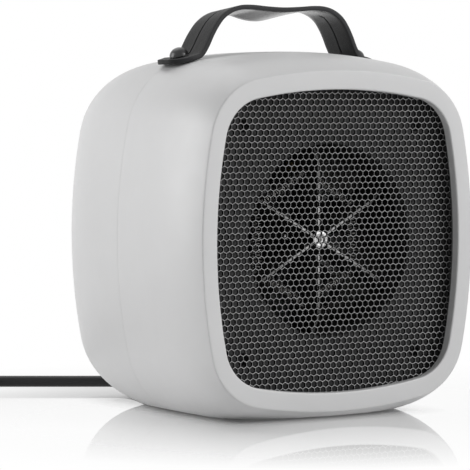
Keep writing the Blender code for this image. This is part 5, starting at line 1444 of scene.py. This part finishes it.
@dataclass
class Fan:
    """The impeller on its shaft and the shaded-pole motor that turns it."""

    casing: Casing
    depth: float = 0.0580
    radius: float = 0.0478
    hub: float = 0.0140
    hub_length: float = 0.0160
    hub_wall: float = 0.0016
    hub_round: float = 0.0030
    bore: float = 0.0019
    blades: int = 5
    thickness: float = 0.0014
    chord: Flat = (0.0170, 0.0310)
    pitch: Flat = (40.0, 24.0)
    camber: float = 0.0016
    tip: Triple = (0.8, 0.2, 0.22)
    tip_bow: float = 0.02
    edge_thinning: float = 0.75
    tip_thinning: float = 0.3
    bracket_depth: float = 0.0763
    bracket_reach: float = 0.0549
    motor_reach: float = 0.0140
    bracket_seat: Flat = (0.0018, 0.0060)
    motor_seat: Flat = (-0.0003, 0.0043)

    def blade(self, index: int) -> Piece:
        """One cambered blade, thinned towards its edges and rounded at its tip.

        Args:
            index: which one.

        Returns:
            The blade.
        """
        spans, stations = 10, 14
        root = self.hub - self.hub_wall / 2
        tip, tip_length, narrowing = self.tip
        work = bmesh.new()
        layers: list[list[list[bmesh.types.BMVert]]] = []
        for face in (-1, 1):
            layer = []
            for i in range(spans + 1):
                share = i / spans
                chord = self.chord[0] + (self.chord[1] - self.chord[0]) * share
                chord *= 1 - narrowing * max(0.0, (share - tip) / tip_length) ** 2
                pitch = math.radians(self.pitch[0] + (self.pitch[1] - self.pitch[0]) * share)
                row = []
                for k in range(stations + 1):
                    place = k / stations - 0.5
                    radius = root + (self.radius - root) * share * (1 - self.tip_bow * (2 * place) ** 2)
                    bow = self.camber * (1 - (2 * place) ** 2)
                    half = (self.thickness / 2 * (1 - self.edge_thinning * abs(2 * place) ** 4)
                            * (1 - self.tip_thinning * share))
                    angle = math.tau * index / self.blades + chord * place * math.cos(pitch) / radius
                    lift = chord * place * math.sin(pitch) + bow + face * half
                    row.append(work.verts.new((radius * math.sin(angle), self.casing.at(self.depth) + lift,
                                               self.casing.centre + radius * math.cos(angle))))
                layer.append(row)
            layers.append(layer)
        for layer in layers:
            for i in range(spans):
                for k in range(stations):
                    work.faces.new((layer[i][k], layer[i + 1][k], layer[i + 1][k + 1], layer[i][k + 1]))
        border = [(i, 0) for i in range(spans)] + [(spans, k) for k in range(stations)]
        border += [(i, stations) for i in range(spans, 0, -1)] + [(0, k) for k in range(stations, 0, -1)]
        for (i, k), (m, n) in zip(border, border[1:] + border[:1]):
            work.faces.new((layers[0][i][k], layers[0][m][n], layers[1][m][n], layers[1][i][k]))
        return object_from("blade_" + str(index), work, 50.0)

    def build_impeller(self) -> Piece:
        """The cupped hub with its blades.

        Returns:
            The impeller.
        """
        front, fillet, wall = self.hub_length / 2, self.hub_round, self.hub_wall
        profile: list[Flat] = [(self.bore, front)]
        profile += [(self.hub - fillet * (1 - s), front - fillet * (1 - c)) for c, s in quarter(6)]
        profile += [(self.hub, -front), (self.hub - wall, -front), (self.hub - wall, front - 2 * fillet),
                    (2 * self.bore, front - 2 * fillet), (2 * self.bore, -front / 2), (self.bore, -front / 2)]
        impeller = turned("impeller", profile, self.casing.point(0, self.depth), FORWARD, 48)
        for index in range(self.blades):
            carve(impeller, self.blade(index), Cut.JOIN, 40.0)
        return impeller

    def build(self) -> None:
        """Build and dress the impeller, and dress the motor behind it."""
        fit(self.build_impeller(), FAN_BLACK, "fan_impeller", body=Body.FAN)
        dress(TURNED_STEEL, "motor_shaft", "rivet_washer_left", "rivet_washer_right")
        dress(LAMINATED, "motor_stack", "motor_rotor")
        dress(WINDING, "motor_winding")
        dress(STRIP_STEEL, "motor_bracket", "motor_bridge_front", "motor_bridge_rear")
        dress(SLEEVED, "wire_live", "wire_switched")
        dress(CERAMIC, "terminal_block")
        for side in Side:
            for piece, node, reach, (lift, length), into in (
                    ("strip", "bracket", self.bracket_reach, self.bracket_seat, FORWARD),
                    ("bridge", "motor", self.motor_reach, self.motor_seat, BACK)):
                end = "_screw_" + side.name.lower()
                seat = self.casing.point(side.value * reach, self.bracket_depth + lift)
                fit(CrossScrew(length).build(piece + end, seat, into), TURNED_STEEL, node + end)


# Back and underside


@dataclass
class AirInlet:
    """Rows of round-ended slots in the back, in two halves beside an upright rib."""

    casing: Casing
    radius: float = 0.0430
    height: float = 0.0036
    pitch: float = 0.0084
    rows: int = 9
    rib: float = 0.0030

    def cutter(self) -> Piece:
        """All the slots as one cutter.

        Returns:
            The cutter.
        """
        near = self.casing.at(self.casing.depth - self.casing.wall) - CUT_PAST
        far = self.casing.at(self.casing.depth) + CUT_PAST
        slots = []
        for row in range(self.rows):
            rise = (row - (self.rows - 1) / 2) * self.pitch
            reach = math.sqrt(self.radius ** 2 - rise ** 2)
            for side in Side:
                start, end = sorted((side.value * self.rib / 2, side.value * reach))
                rings = [[Vector((x, y, self.casing.centre + rise + z))
                          for x, z in self.stadium(start, end)] for y in (near, far)]
                slots.append(loft("slot", rings))
        return joined("inlet_slots", slots)

    def stadium(self, start: float, end: float) -> list[Flat]:
        """A slot's outline from its left end to its right one."""
        r, ends = self.height / 2, ((1, start, 0.5), (-1, end, -0.5))
        return [(place + way * r + r * math.cos(a), r * math.sin(a)) for way, place, turn in ends
                for a in (math.pi * (turn + i / 8) for i in range(9))]


@dataclass
class RockerSwitch:
    """The rocker switch high on the back."""

    casing: Casing
    height: float = 0.1464
    half_width: float = 0.0065
    half_height: float = 0.0100
    flange: float = 0.0016
    flange_thickness: float = 0.0014
    body_length: float = 0.0150
    wall: float = 0.0012
    half_length: float = 0.0078
    half_depth: float = 0.0024
    waist: float = 0.0012
    keel: float = 0.0042
    hollow: float = 1.6
    tilt: float = 9.0
    key_edge: float = 0.0003
    flange_edge: float = 0.0004

    def block(self, name: str, grow: float, front: float, back: float, edge: float = 0.0) -> Piece:
        """A block on the switch's outline.

        Args:
            name: its name.
            grow: distance outwards.
            front: its near Y.
            back: its far Y.
            edge: width of its easing.

        Returns:
            The block.
        """
        wide, high = self.half_width + grow, self.half_height + grow
        return box(name, Vector((-wide, front, self.height - high)),
                   Vector((wide, back, self.height + high)), edge)

    def hole(self) -> Piece:
        """The cutter for its hole in the rear shell."""
        rear = self.casing.at(self.casing.depth)
        return self.block("switch_hole", FIT_GAP, rear - self.casing.wall - CUT_PAST,
                          rear + CUT_PAST)

    def build_rocker(self) -> Piece:
        """The rocker with two hollowed pads, its edges eased.

        Returns:
            The rocker.
        """
        wide = self.half_width - self.wall - FIT_GAP
        long, deep, waist = self.half_length, self.half_depth, self.waist
        shares = [i / 8 - 1 for i in range(17)]
        face = [(share * long, waist + (deep - waist) * abs(share) ** self.hollow) for share in shares]
        under = [(long, -waist), (long / 2, -self.keel), (-long / 2, -self.keel), (-long, -waist)]
        pivot = self.casing.point(0, self.casing.depth, self.height)
        turn = Matrix.Rotation(math.radians(self.tilt), 3, "X")
        rings = [[pivot + turn @ Vector((x, depth, up)) for up, depth in face + under]
                 for x in (-wide, wide)]
        rocker = loft("rocker_key", rings, sharp=25.0)
        work = bmesh.new()
        work.from_mesh(rocker.data)
        edges = [edge for edge in work.edges if edge.calc_face_angle(0.0) > 1.0]
        bmesh.ops.bevel(work, geom=edges, offset=self.key_edge, segments=3, profile=0.5, affect="EDGES")
        bpy.data.objects.remove(rocker, do_unlink=True)
        return object_from("rocker_key", work, 40.0)

    def build(self) -> None:
        """Build and dress the housing and the rocker."""
        rear = self.casing.at(self.casing.depth)
        outer = rear + FIT_GAP + self.flange_thickness
        edge = self.flange_edge
        body = self.block("switch_body", 0.0, rear - self.casing.wall - self.body_length, outer - edge)
        carve(body, self.block("switch_flange", self.flange, rear + FIT_GAP, outer, edge),
              Cut.JOIN)
        carve(body, self.block("switch_pocket", -self.wall, rear - self.keel - 2 * self.wall,
                               outer + CUT_PAST))
        fit(body, SWITCH_BLACK, "switch_housing")
        fit(self.build_rocker(), SWITCH_BLACK, "switch_rocker", body=Body.ROCKER)


@dataclass
class Underside:
    """The four push-in feet and the sprung plunger of the tip switch."""

    casing: Casing
    foot: float = 0.0065
    foot_edge: float = 0.0001
    foot_hollow: float = 0.00015
    stem: float = 0.0028
    barb: float = 0.0040
    barb_height: float = 0.0024
    front: Flat = (0.0380, 0.0390)
    rear: Flat = (0.0360, 0.1050)
    tip_depth: float = 0.0960
    plunger: float = 0.0028

    def places(self) -> list[tuple[str, float, float]]:
        """Name, place across and depth of each foot."""
        return [("foot_" + end + "_" + side.name.lower(), side.value * x, depth)
                for end, (x, depth) in (("front", self.front), ("rear", self.rear)) for side in Side]

    def hole(self, x: float, depth: float, radius: float) -> Piece:
        """A cutter through the casing's floor."""
        low = self.casing.point(x, depth, self.casing.underside - CUT_PAST)
        return rod("floor_hole", low, low + UP * (self.casing.wall + 2 * CUT_PAST),
                   radius + FIT_GAP)

    def holes(self, ends: str) -> list[Piece]:
        """Cutters for the feet of one shell, and for the plunger in the rear one."""
        made = [self.hole(x, depth, self.stem) for name, x, depth in self.places() if ends in name]
        return made + ([self.hole(0.0, self.tip_depth, self.plunger)] if ends == "rear" else [])

    def build(self) -> None:
        """Build and dress the feet, and dress the tip switch."""
        top = self.casing.underside - FIT_GAP
        barb = self.casing.underside + self.casing.wall + FIT_GAP
        r, s = self.foot, self.stem
        edge, hollow = self.foot_edge, self.foot_hollow
        profile = [(0, barb + self.barb_height), (s * 0.8, barb + self.barb_height),
                   (self.barb * 0.95, barb + 4 * edge), (self.barb, barb), (s, barb), (s, top),
                   (r - edge, top), (r, top - edge), (r, top / 2), (r - top / 4, top / 8),
                   (r - top / 2, 0.0), (r * 0.45, 0.0), (r * 0.4, hollow), (0, hollow)]
        for name, x, depth in self.places():
            foot = turned(name.replace("foot", "pad"), profile, self.casing.point(x, depth, 0), UP, 40)
            fit(foot, RUBBER, name)
        dress(SWITCH_BLACK, "tip_switch_housing", "tip_plunger")


# Strap handle


@dataclass
class StrapHandle:
    """The riveted strap: raised in the middle, its far edge drooping, its ends rounded."""

    casing: Casing
    depth: float = 0.0678
    half_length: float = 0.0646
    rise: float = 0.0222
    lean: float = 0.0008
    width: float = 0.0260
    thickness: float = 0.0024
    droop: float = 0.0045
    droop_reach: float = 0.482
    slump: Triple = (0.0029, 0.0160, 0.0560)
    sag_centre: float = -0.0020
    end_round: float = 0.0125
    seat_gap: float = 0.0005
    bevel: float = 0.00028
    groove: Flat = (0.00065, 0.0007)
    plain_below: Flat = (0.0330, 0.0380)
    foot_margin: float = 0.0046
    rivet_margin: float = 0.0106
    head: float = 0.0050
    head_height: float = 0.0044
    head_edge: float = 0.0002
    shank: float = 0.0019
    tail: float = 0.0030
    tail_height: float = 0.0010
    washer: float = 0.0010
    washer_gap: float = 0.0007
    washer_radius: float = 0.0034
    arch: tuple[Flat, ...] = (
        (0.0, 0.907), (0.2004, 0.933), (0.3907, 0.984), (0.5324, 0.994), (0.6518, 0.933),
        (0.7449, 0.811), (0.8158, 0.628), (0.8684, 0.44), (0.915, 0.238), (0.9595, 0.085), (1.0, 0.01),
    )
    end: tuple[Flat, ...] = ((0.0, 0.0), (0.297, 0.008), (0.636, 0.055), (1.0, 0.144))

    def seat(self, x: float) -> tuple[Vector, Vector]:
        """Where the strap's middle lies on the casing.

        Args:
            x: place across.

        Returns:
            The place and the direction into the casing.
        """
        step = self.washer_radius
        here, left, right = (self.casing.top(place, self.depth) for place in (x, x - step, x + step))
        return self.casing.point(x, self.depth, here), Vector((right - left, 0, -2 * step)).normalized()

    def rivet_seat(self, side: Side) -> tuple[Vector, Vector]:
        """Where a rivet meets the casing, and the direction into it."""
        return self.seat(side.value * (self.half_length - self.rivet_margin))

    def line(self) -> Points:
        """The strap's middle layer from its left tip to its right one."""
        rivet = self.half_length - self.rivet_margin
        places = [(share * (rivet - self.foot_margin), lift) for share, lift in self.arch]
        places += [(rivet + share * self.rivet_margin, lift) for share, lift in self.end]
        half = []
        for x, lift in places:
            top, down = self.seat(x)
            seated = top - (self.seat_gap + self.thickness / 2) * down
            half.append((seated.x, seated.z + lift * self.rise, lift * self.lean))
        return smooth_path([(lean - x, 0.0, z) for x, z, lean in reversed(half)]
                           + [(lean + x, 0.0, z) for x, z, lean in half[1:]], 7)

    def face(self, half: float, cut: float) -> list[Flat]:
        """One face of the strap from edge to edge: bevels, and a round-bottomed groove along it.

        Args:
            half: its half width.
            cut: share of the groove's depth.

        Returns:
            Place across and height of each point.
        """
        r = self.thickness / 2
        e = min(self.bevel, half / 3)
        wide, deep = min(self.groove[0], half / 5), min(self.groove[1], half / 6) * cut
        right = [(half, 0.0), (half, r - e), (half - e * 0.3, r - e * 0.3), (half - e, r)]
        right += [(half - e + (wide - half + e) * i / 5, r) for i in range(1, 6)]
        right += [(wide * 0.85, r - deep * 0.6), (wide * 0.5, r - deep * 0.93)]
        return right + [(0.0, r - deep)] + [(-x, z) for x, z in reversed(right)]

    def section(self, half: float, x: float) -> list[Flat]:
        """The strap's cross-section: both faces grooved, the lower one only towards the ends.

        Args:
            half: its half width.
            x: place along the strap.

        Returns:
            Place across and height of each point.
        """
        near, far = self.plain_below
        below = min(max((abs(x) - near) / (far - near), 0.0), 1.0)
        lower = [(across, -up) for across, up in reversed(self.face(half, below))]
        return self.face(half, 1.0) + lower[1:-1]

    def sag(self, x: float) -> float:
        """How far the strap's far edge hangs down.

        Args:
            x: place along the strap.

        Returns:
            The drop.
        """
        reach = self.half_length * self.droop_reach
        off = x - self.sag_centre
        drop = self.droop * math.cos(off / reach * math.pi / 2) ** 2 if abs(off) < reach else 0.0
        deep, near, far = self.slump
        if near < -x < far:
            drop += deep * math.sin(math.pi * (-x - near) / (far - near))
        return drop

    def build_strap(self) -> Piece:
        """The strap, swept along its line.

        Returns:
            The strap.
        """
        line = self.line()
        travelled = [0.0]
        for near, far in zip(line, line[1:]):
            travelled.append(travelled[-1] + (far - near).length)
        rings = []
        for i, place in enumerate(line):
            from_tip = min(travelled[i], travelled[-1] - travelled[i])
            short = max(self.end_round - from_tip, 0.0)
            drawn = self.end_round - math.sqrt(max(self.end_round ** 2 - short ** 2, 0.0))
            half, drop = self.width / 2 - drawn, self.sag(place.x)
            run = heading(line, i).normalized()
            normal = Vector((-run.z, 0, run.x))
            middle = self.casing.at(self.depth)
            rings.append([Vector((place.x, middle + across, place.z - drop * (across / half + 1) / 2))
                          + normal * up for across, up in self.section(half, place.x)])
        return loft("strap", rings, sharp=50.0)

    def build_rivet(self, side: Side) -> Piece:
        """A domed rivet through strap and casing.

        Args:
            side: which rivet.

        Returns:
            The rivet.
        """
        top, down = self.rivet_seat(side)
        head = self.seat_gap + self.thickness + FIT_GAP
        low = -(self.casing.wall + self.washer_gap + self.washer + FIT_GAP)
        edge = self.head_edge
        profile: list[Flat] = [(0.0, head + self.head_height)]
        profile += [(self.head * c, head + self.head_height * s) for c, s in quarter(12)[-2:0:-1]]
        profile += [(self.head, head + edge), (self.head - edge, head), (self.shank, head),
                    (self.shank, low), (self.tail, low), (self.tail, low - self.tail_height * 0.6),
                    (0.0, low - self.tail_height)]
        return turned("rivet_" + side.name.lower(), profile, top, -down, 40)

    def holes(self) -> list[Piece]:
        """Cutters for the rivets' holes in the front shell."""
        made = []
        for side in Side:
            top, down = self.rivet_seat(side)
            made.append(rod("rivet_hole", top - down * self.head, top + down * (self.casing.wall + self.head),
                            self.shank + FIT_GAP))
        return made

    def build(self) -> None:
        """Build and dress the strap and its rivets."""
        strap = self.build_strap()
        for side in Side:
            top, down = self.rivet_seat(side)
            carve(strap, rod("strap_hole", top - down * 3 * self.thickness, top + down * CUT_PAST,
                             self.shank + FIT_GAP), sharp=50.0)
            fit(self.build_rivet(side), RIVET_BLACK, "strap_rivet_" + side.name.lower())
        fit(strap, STRAP_BLACK, "handle_strap")


# Mains cord


@dataclass
class MainsCord:
    """The mains cord: its strain relief, its lay on the floor, its tied coil and its plug."""

    casing: Casing
    radius: float = 0.00315
    length: float = 1.509
    boot_points: int = 5
    hole_radius: float = 0.0046
    flange_radius: float = 0.0056
    flange_thickness: float = 0.0020
    flange_edge: float = 0.0004
    boot_gap: float = 0.0006
    boot_ribs: Triple = (0.00045, 6, 0.04)
    root_radius: float = 0.0050
    tip_radius: float = 0.0036
    inner_length: float = 0.0060
    coil_centre: Flat = (-0.1506, 0.1433)
    coil_radius: float = 0.0384
    coil_pitch: float = 0.0069
    coil_turns: float = 5.117
    coil_start: float = 58.0
    coil_floor: float = 0.0044
    points_per_turn: int = 48
    tie_angle: float = 300.0
    tie_thickness: float = 0.0008
    tie_width: float = 0.0090
    tie_gap: float = 0.0008
    tie_corner: float = 0.0022
    tie_edge: float = 0.0003
    plug_length: float = 0.0340
    plug_half: Flat = (0.0130, 0.0068)
    plug_end: tuple[Triple, ...] = ((0.008, 1.0, 1.0), (0.0008, 0.985, 0.97), (0.0002, 0.96, 0.93),
                                    (0.0, 0.93, 0.88))
    neck: Flat = (0.0044, 0.0100)
    neck_rib: float = 0.0004
    pin: Triple = (0.0020, 0.0190, 0.0190)
    route: tuple[Triple, ...] = (
        (-0.0020, 0.0732, 0.0195), (-0.0020, 0.0792, 0.0192), (-0.0020, 0.0852, 0.0178),
        (-0.0025, 0.0912, 0.0156), (-0.0039, 0.0970, 0.0123), (-0.0063, 0.1025, 0.0086),
        (-0.0096, 0.1075, 0.0058), (-0.0136, 0.1119, 0.0040), (-0.0183, 0.1156, 0.0032),
        (-0.0247, 0.1196, 0.0032), (-0.0332, 0.1249, 0.0032), (-0.0428, 0.1309, 0.0032),
        (-0.0530, 0.1373, 0.0032), (-0.0649, 0.1447, 0.0032), (-0.0767, 0.1521, 0.0032),
        (-0.0886, 0.1595, 0.0032), (-0.1005, 0.1669, 0.0036), (-0.1123, 0.1744, 0.0042),
        (-0.1256, 0.1833, 0.0044),
    )
    tail_route: tuple[Triple, ...] = (
        (-0.1588, 0.1898, 0.0113), (-0.1654, 0.1887, 0.0112), (-0.1735, 0.1865, 0.0106),
        (-0.1816, 0.1830, 0.0094), (-0.1892, 0.1781, 0.0074), (-0.1955, 0.1714, 0.0054),
        (-0.2001, 0.1633, 0.0040), (-0.2033, 0.1526, 0.0033), (-0.2041, 0.1414, 0.0036),
        (-0.2030, 0.1322, 0.0052), (-0.2010, 0.1240, 0.0067), (-0.1989, 0.1165, 0.0070),
    )

    def wound(self) -> Points:
        """The coiled stretch: it spirals in on the floor, climbs, and spirals out on top.

        Returns:
            The points.
        """
        total = math.tau * self.coil_turns
        middle = total / 2
        inner = self.coil_radius - self.coil_pitch * self.coil_turns / 4
        steps = round(self.coil_turns * self.points_per_turn)
        points = []
        for i in range(steps + 1):
            turned_by = total * i / steps
            radius = inner + self.coil_pitch * abs(turned_by - middle) / math.tau
            angle = math.radians(self.coil_start) + turned_by
            climb = softened(min(max((turned_by - middle) / math.pi + 0.5, 0.0), 1.0))
            points.append(Vector((self.coil_centre[0] + radius * math.cos(angle),
                                  self.coil_centre[1] + radius * math.sin(angle),
                                  self.coil_floor + self.coil_pitch * climb)))
        return points

    def path(self) -> Points:
        """The whole cord from the casing's wall to the plug.

        Returns:
            The points.
        """
        wound = self.wound()
        first = math.radians(self.coil_start)
        last = first + math.tau * self.coil_turns
        into = Vector((math.sin(first), -math.cos(first), 0))
        out = Vector((-math.sin(last), math.cos(last), 0))
        lead = 2 * self.radius
        entry = wound[0] + into * 2 * lead
        leave = wound[-1] + out * 2 * lead
        free = [p for p in smooth_path(self.route, 3) if (p - entry).dot(into) > lead]
        tail = [p for p in smooth_path(self.tail_route, 3)
                if p.y < self.tail_route[1][1] and (p - leave).length > lead]
        return free + [entry, wound[0] + into * lead] + wound + [wound[-1] + out * lead, leave] + tail

    def build_gland(self) -> Piece:
        """The grommet in the wall, its flange, and the ribbed boot that tapers along the cord.

        Returns:
            The strain relief.
        """
        root = Vector(self.route[0])
        end = Vector(self.route[self.boot_points])
        boot = smooth_path(self.route[:self.boot_points + 2], 12)
        flange = root + BACK * FIT_GAP
        edge, thick, wide = self.flange_edge, self.flange_thickness, self.flange_radius
        boot = [p for p in boot if root.y + thick + self.boot_gap < p.y <= end.y]
        stations = [(root - BACK * (self.casing.wall + self.inner_length), self.hole_radius)]
        stations += [(flange + BACK * reach, radius) for reach, radius in (
            (0, self.hole_radius), (0, wide - edge), (edge, wide), (thick - edge, wide),
            (thick, wide - edge), (thick, self.root_radius))]
        straight = len(stations)
        rib, ribs, margin = self.boot_ribs
        for i, point in enumerate(boot):
            share = (i + 1) / len(boot)
            radius = self.root_radius + (self.tip_radius - self.root_radius) * share
            if margin < share < 1 - margin:
                radius -= rib * max(0.0, math.sin(share * math.tau * ribs))
            stations.append((point, radius))
        middles = [place for place, _ in stations]
        rings = []
        for i, (place, radius) in enumerate(stations):
            run = heading(middles, i) if i >= straight else BACK
            turn = run.to_track_quat("Y", "Z").to_matrix()
            rings.append([place + turn @ Vector((x, 0, z)) for x, z in circle(radius, 28)])
        return loft("strain_relief", rings, sharp=45.0)

    def build_tie(self) -> Piece:
        """A band round all the turns at one place of the coil.

        Returns:
            The band.
        """
        angle = math.radians(self.tie_angle)
        radial = Vector((math.cos(angle), math.sin(angle), 0))
        along = Vector((-math.sin(angle), math.cos(angle), 0))
        centre = Vector((*self.coil_centre, 0))
        near = [p for p in self.wound() if abs((p - centre).dot(along)) < self.tie_width
                and (p - centre).dot(radial) > 0]
        reaches = [(p - centre).dot(radial) for p in near]
        room = self.radius + FIT_GAP
        low, high = self.coil_floor - room, self.coil_floor + self.coil_pitch + room
        inner = min(reaches) - self.radius - self.tie_gap
        outer = max(reaches) + self.radius + self.tie_gap
        soft = self.tie_corner
        corners = ((outer - soft, high - soft), (inner + soft, high - soft),
                   (inner + soft, low + soft), (outer - soft, low + soft))
        half, wall, edge = self.tie_width / 2, self.tie_thickness, self.tie_edge
        rings = []
        for offset, grow in ((-half, wall * 0.7), (-half + edge, wall), (half - edge, wall),
                             (half, wall * 0.7), (half, 0.0), (-half, 0.0)):
            ring = []
            for index, (reach, z) in enumerate(corners):
                for i in range(6):
                    turn = math.pi * (index / 2 + i / 10)
                    ring.append(centre + along * offset + radial * (reach + (soft + grow) * math.cos(turn))
                                + UP * (z + (soft + grow) * math.sin(turn)))
            rings.append(ring)
        return loft("coil_band", rings, closed=True, sharp=45.0)

    def build_plug(self, path: Sequence[Vector]) -> tuple[Piece, list[Piece]]:
        """The flat two-pin plug in line with the cord's end.

        Args:
            path: the cord's points.

        Returns:
            The plug's body and its pins.
        """
        run = path[-1] - path[-2]
        run.z = 0
        run.normalize()
        side = Vector((run.y, -run.x, 0))
        entry = path[-1] + run * FIT_GAP
        wide, thick = self.plug_half
        neck, neck_length = self.neck
        stations = [(0.0, neck * 0.94, neck * 0.94), (0.0004, neck, neck)]
        for i in range(1, 16):
            share = i / 16
            rib = self.neck_rib if i % 3 == 0 else 0.0
            stations.append((neck_length * share, neck * (1 + 0.2 * share) - rib,
                             neck * (1 + 0.1 * share) - rib))
        for i in range(9):
            share = i / 8
            ease = softened(share)
            stations.append((neck_length * (1 + share), neck * 1.2 + (wide - neck * 1.2) * ease,
                             neck * 1.1 + (thick - neck * 1.1) * ease))
        stations += [(self.plug_length - short, wide * across, thick * up)
                     for short, across, up in self.plug_end]
        rings = []
        for reach, half_wide, half_thick in stations:
            rings.append([entry + run * reach + side * math.copysign(abs(c) ** 0.6, c) * half_wide
                          + UP * math.copysign(abs(s) ** 0.6, s) * half_thick for c, s in circle(1.0, 48)])
        body = loft("plug_moulding", rings, sharp=45.0)
        face = entry + run * (self.plug_length + FIT_GAP)
        radius, length, spacing = self.pin
        profile = [(0, length), (radius * 0.45, length), (radius * 0.8, length - radius * 0.25),
                   (radius, length - radius * 0.7), (radius, length * 0.45), (radius * 0.97, length * 0.45),
                   (radius * 0.97, 0), (0, 0)]
        pins = [turned("pin_" + name, profile, face + side * which * spacing / 2, run, 24)
                for name, which in (("inner", -1), ("outer", 1))]
        return body, pins

    def gland_hole(self) -> Piece:
        """The cutter for the strain relief's hole in the rear shell."""
        casing, (x, _, z) = self.casing, self.route[0]
        return rod("gland_hole", casing.point(x, casing.depth - casing.rear_inset, z),
                   casing.point(x, casing.depth + CUT_PAST, z), self.hole_radius + FIT_GAP)

    def build(self) -> None:
        """Build and dress the cord and all that is on it."""
        path = self.path()
        cord = fit(piped("cord", path, self.radius), CORD_BLACK, "mains_cord", "cord_coil",
                   "cord_tail")
        fit(self.build_gland(), RUBBER, "cord_gland")
        tie = fit(self.build_tie(), RUBBER, "cord_tie")
        body, pins = self.build_plug(path)
        fit(body, CORD_BLACK, "plug_body")
        for pin in pins:
            fit(pin, BRASS, pin.name.replace("pin_", "plug_pin_"))


# Studio


@dataclass
class Studio:
    """The camera, the white floor and the soft lights."""

    camera_place: Triple = (-0.78064, -1.2239, 0.1646)
    camera_turn: Triple = (87.066, 0.0, -32.015)
    lens: float = 210.34
    floor_half: float = 6.0
    floor_level: float = -0.00002
    floor_tone: float = 0.88
    footing: Triple = (0.050, 0.060, 1.0)
    floor_glow: Triple = (0.15, 0.77, 1.0)
    glow_span: Triple = (0.003, 0.024, 0.190)
    # Painted shade: the floor's own colour is darkened under the heater's footprint.
    dim_span: Flat = (0.0, 0.010)
    foot_tone: float = 0.55
    mirror_centre: Triple = (0.0, -0.05, 0.0)
    mirror: float = 0.62
    mirror_span: Flat = (0.075, 0.21)
    mirror_blur: float = 0.02
    surround: float = 0.20
    aim: Triple = (0.0, 0.0, 0.09)
    lamps: tuple[tuple[str, Triple, Flat, float], ...] = (
        ("lamp_left", (-2.15, 1.2, 0.75), (1.4, 1.6), 42.0),
        ("lamp_front", (1.7, -1.95, 1.2), (1.6, 1.4), 54.0),
        ("lamp_top", (0.0, 1.1, 2.1), (1.6, 1.6), 12.0),
    )

    def build_camera(self) -> None:
        """Put up the camera."""
        lens = bpy.data.cameras.new("camera")
        lens.lens = self.lens
        lens.sensor_width = 36.0
        lens.clip_end = 50.0
        camera = placed("camera", lens)
        camera.location = self.camera_place
        camera.rotation_euler = [math.radians(angle) for angle in self.camera_turn]
        bpy.context.scene.camera = camera

    def build_floor(self) -> None:
        """The white floor: it keeps the heater's real shadow, has painted shade under its footprint, and
        mirrors faintly near it.
        """
        work = bmesh.new()
        half = self.floor_half
        work.faces.new([work.verts.new((x, y, self.floor_level)) for x, y in
                        ((-half, -half), (half, -half), (half, half), (-half, half))])
        floor = object_from("floor", work)
        shading = Shading("white_floor")
        shading.tree.nodes.remove(shading.shader)
        rays = shading.node("LightPath").outputs
        away = shading.vector("SUBTRACT", shading.vector("ABSOLUTE", shading.space), self.footing)
        clear = shading.vector("LENGTH", shading.vector("MAXIMUM", away, (0.0, 0.0, 0.0)))
        # Painted shade: the floor's colour is darker under and just round the heater's footprint.
        card = shading.node("BsdfDiffuse",
                            Color=shading.remap(clear, *self.dim_span, self.foot_tone, self.floor_tone))
        (under, beside, far), (foot, close, wide) = self.floor_glow, self.glow_span
        lit = shading.math("ADD", shading.remap(clear, foot, close, under, beside),
                           shading.remap(clear, close, wide, 0.0, far - beside))
        shown = shading.math("MAXIMUM", rays["Is Camera Ray"], rays["Is Glossy Ray"])
        glow = shading.node("Emission", Color=(1, 1, 1, 1), Strength=1.0)
        base = shading.node("MixShader", shading.math("MULTIPLY", shown, lit), card.outputs[0],
                            glow.outputs[0])
        distance = shading.vector("DISTANCE", shading.space, self.mirror_centre)
        near = shading.math("MULTIPLY", rays["Is Camera Ray"],
                            shading.remap(distance, *self.mirror_span, self.mirror, 0.0))
        gloss = shading.node("BsdfGlossy", Color=(1, 1, 1, 1), Roughness=self.mirror_blur)
        whole = shading.node("MixShader", near, base.outputs[0], gloss.outputs[0])
        shading.feed(shading.tree.nodes["Material Output"].inputs["Surface"], whole.outputs[0])
        floor.data.materials.append(shading.material)

    def build_world(self) -> None:
        """A white surround to the eye and a soft grey one to the light."""
        world = bpy.data.worlds.new("studio")
        bpy.context.scene.world = world
        world.use_nodes = True
        work = Nodes(world.node_tree)
        rays = work.node("LightPath").outputs
        seen = work.math("MAXIMUM", rays["Is Camera Ray"], rays["Is Glossy Ray"])
        seen = work.math("MAXIMUM", seen, rays["Is Transmission Ray"])
        back = work.tree.nodes["Background"].inputs
        work.feed(back["Color"], (1, 1, 1, 1))
        work.feed(back["Strength"], work.remap(seen, 0.0, 1.0, self.surround, 1.0))

    def lamp(self, name: str, place: Triple, size: Flat, power: float) -> None:
        """A rectangular lamp aimed at the heater.

        Args:
            name: its name.
            place: where it stands.
            size: its width and height.
            power: its power in watts.
        """
        light = bpy.data.lights.new(name, "AREA")
        light.shape = "RECTANGLE"
        light.size, light.size_y = size
        light.energy = power
        lamp = placed(name, light)
        lamp.location = place
        lamp.rotation_euler = (Vector(self.aim) - Vector(place)).to_track_quat("-Z", "Y").to_euler()

    def build(self) -> None:
        """Set up the floor, the surround and the lamps."""
        bpy.context.scene.view_settings.view_transform = "Standard"
        self.build_floor()
        self.build_world()
        for lamp in self.lamps:
            self.lamp(*lamp)


def main() -> None:
    """Build every piece in order."""
    logging.basicConfig(level=logging.INFO, format="%(name)s: %(message)s")
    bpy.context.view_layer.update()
    studio = Studio()
    studio.build_camera()
    casing = Casing()
    cord = MainsCord(casing)
    cord.build()
    mesh = MeshFront(casing)
    baffle = Baffle(casing, mesh)
    strap = StrapHandle(casing)
    switch = RockerSwitch(casing)
    underside = Underside(casing)
    casing.build(
        rear_cutters=[*baffle.bores(), AirInlet(casing).cutter(), switch.hole(), cord.gland_hole(),
                      *underside.holes("rear")],
        posts=baffle.posts(),
        front_cutters=[*strap.holes(), *underside.holes("front")],
        mesh_depth=mesh.dish,
    )
    mesh.build()
    baffle.build()
    Element(casing).build()
    Fan(casing).build()
    switch.build()
    underside.build()
    strap.build()
    studio.build()
    log.info("heater complete")


if __name__ == "__main__":
    main()
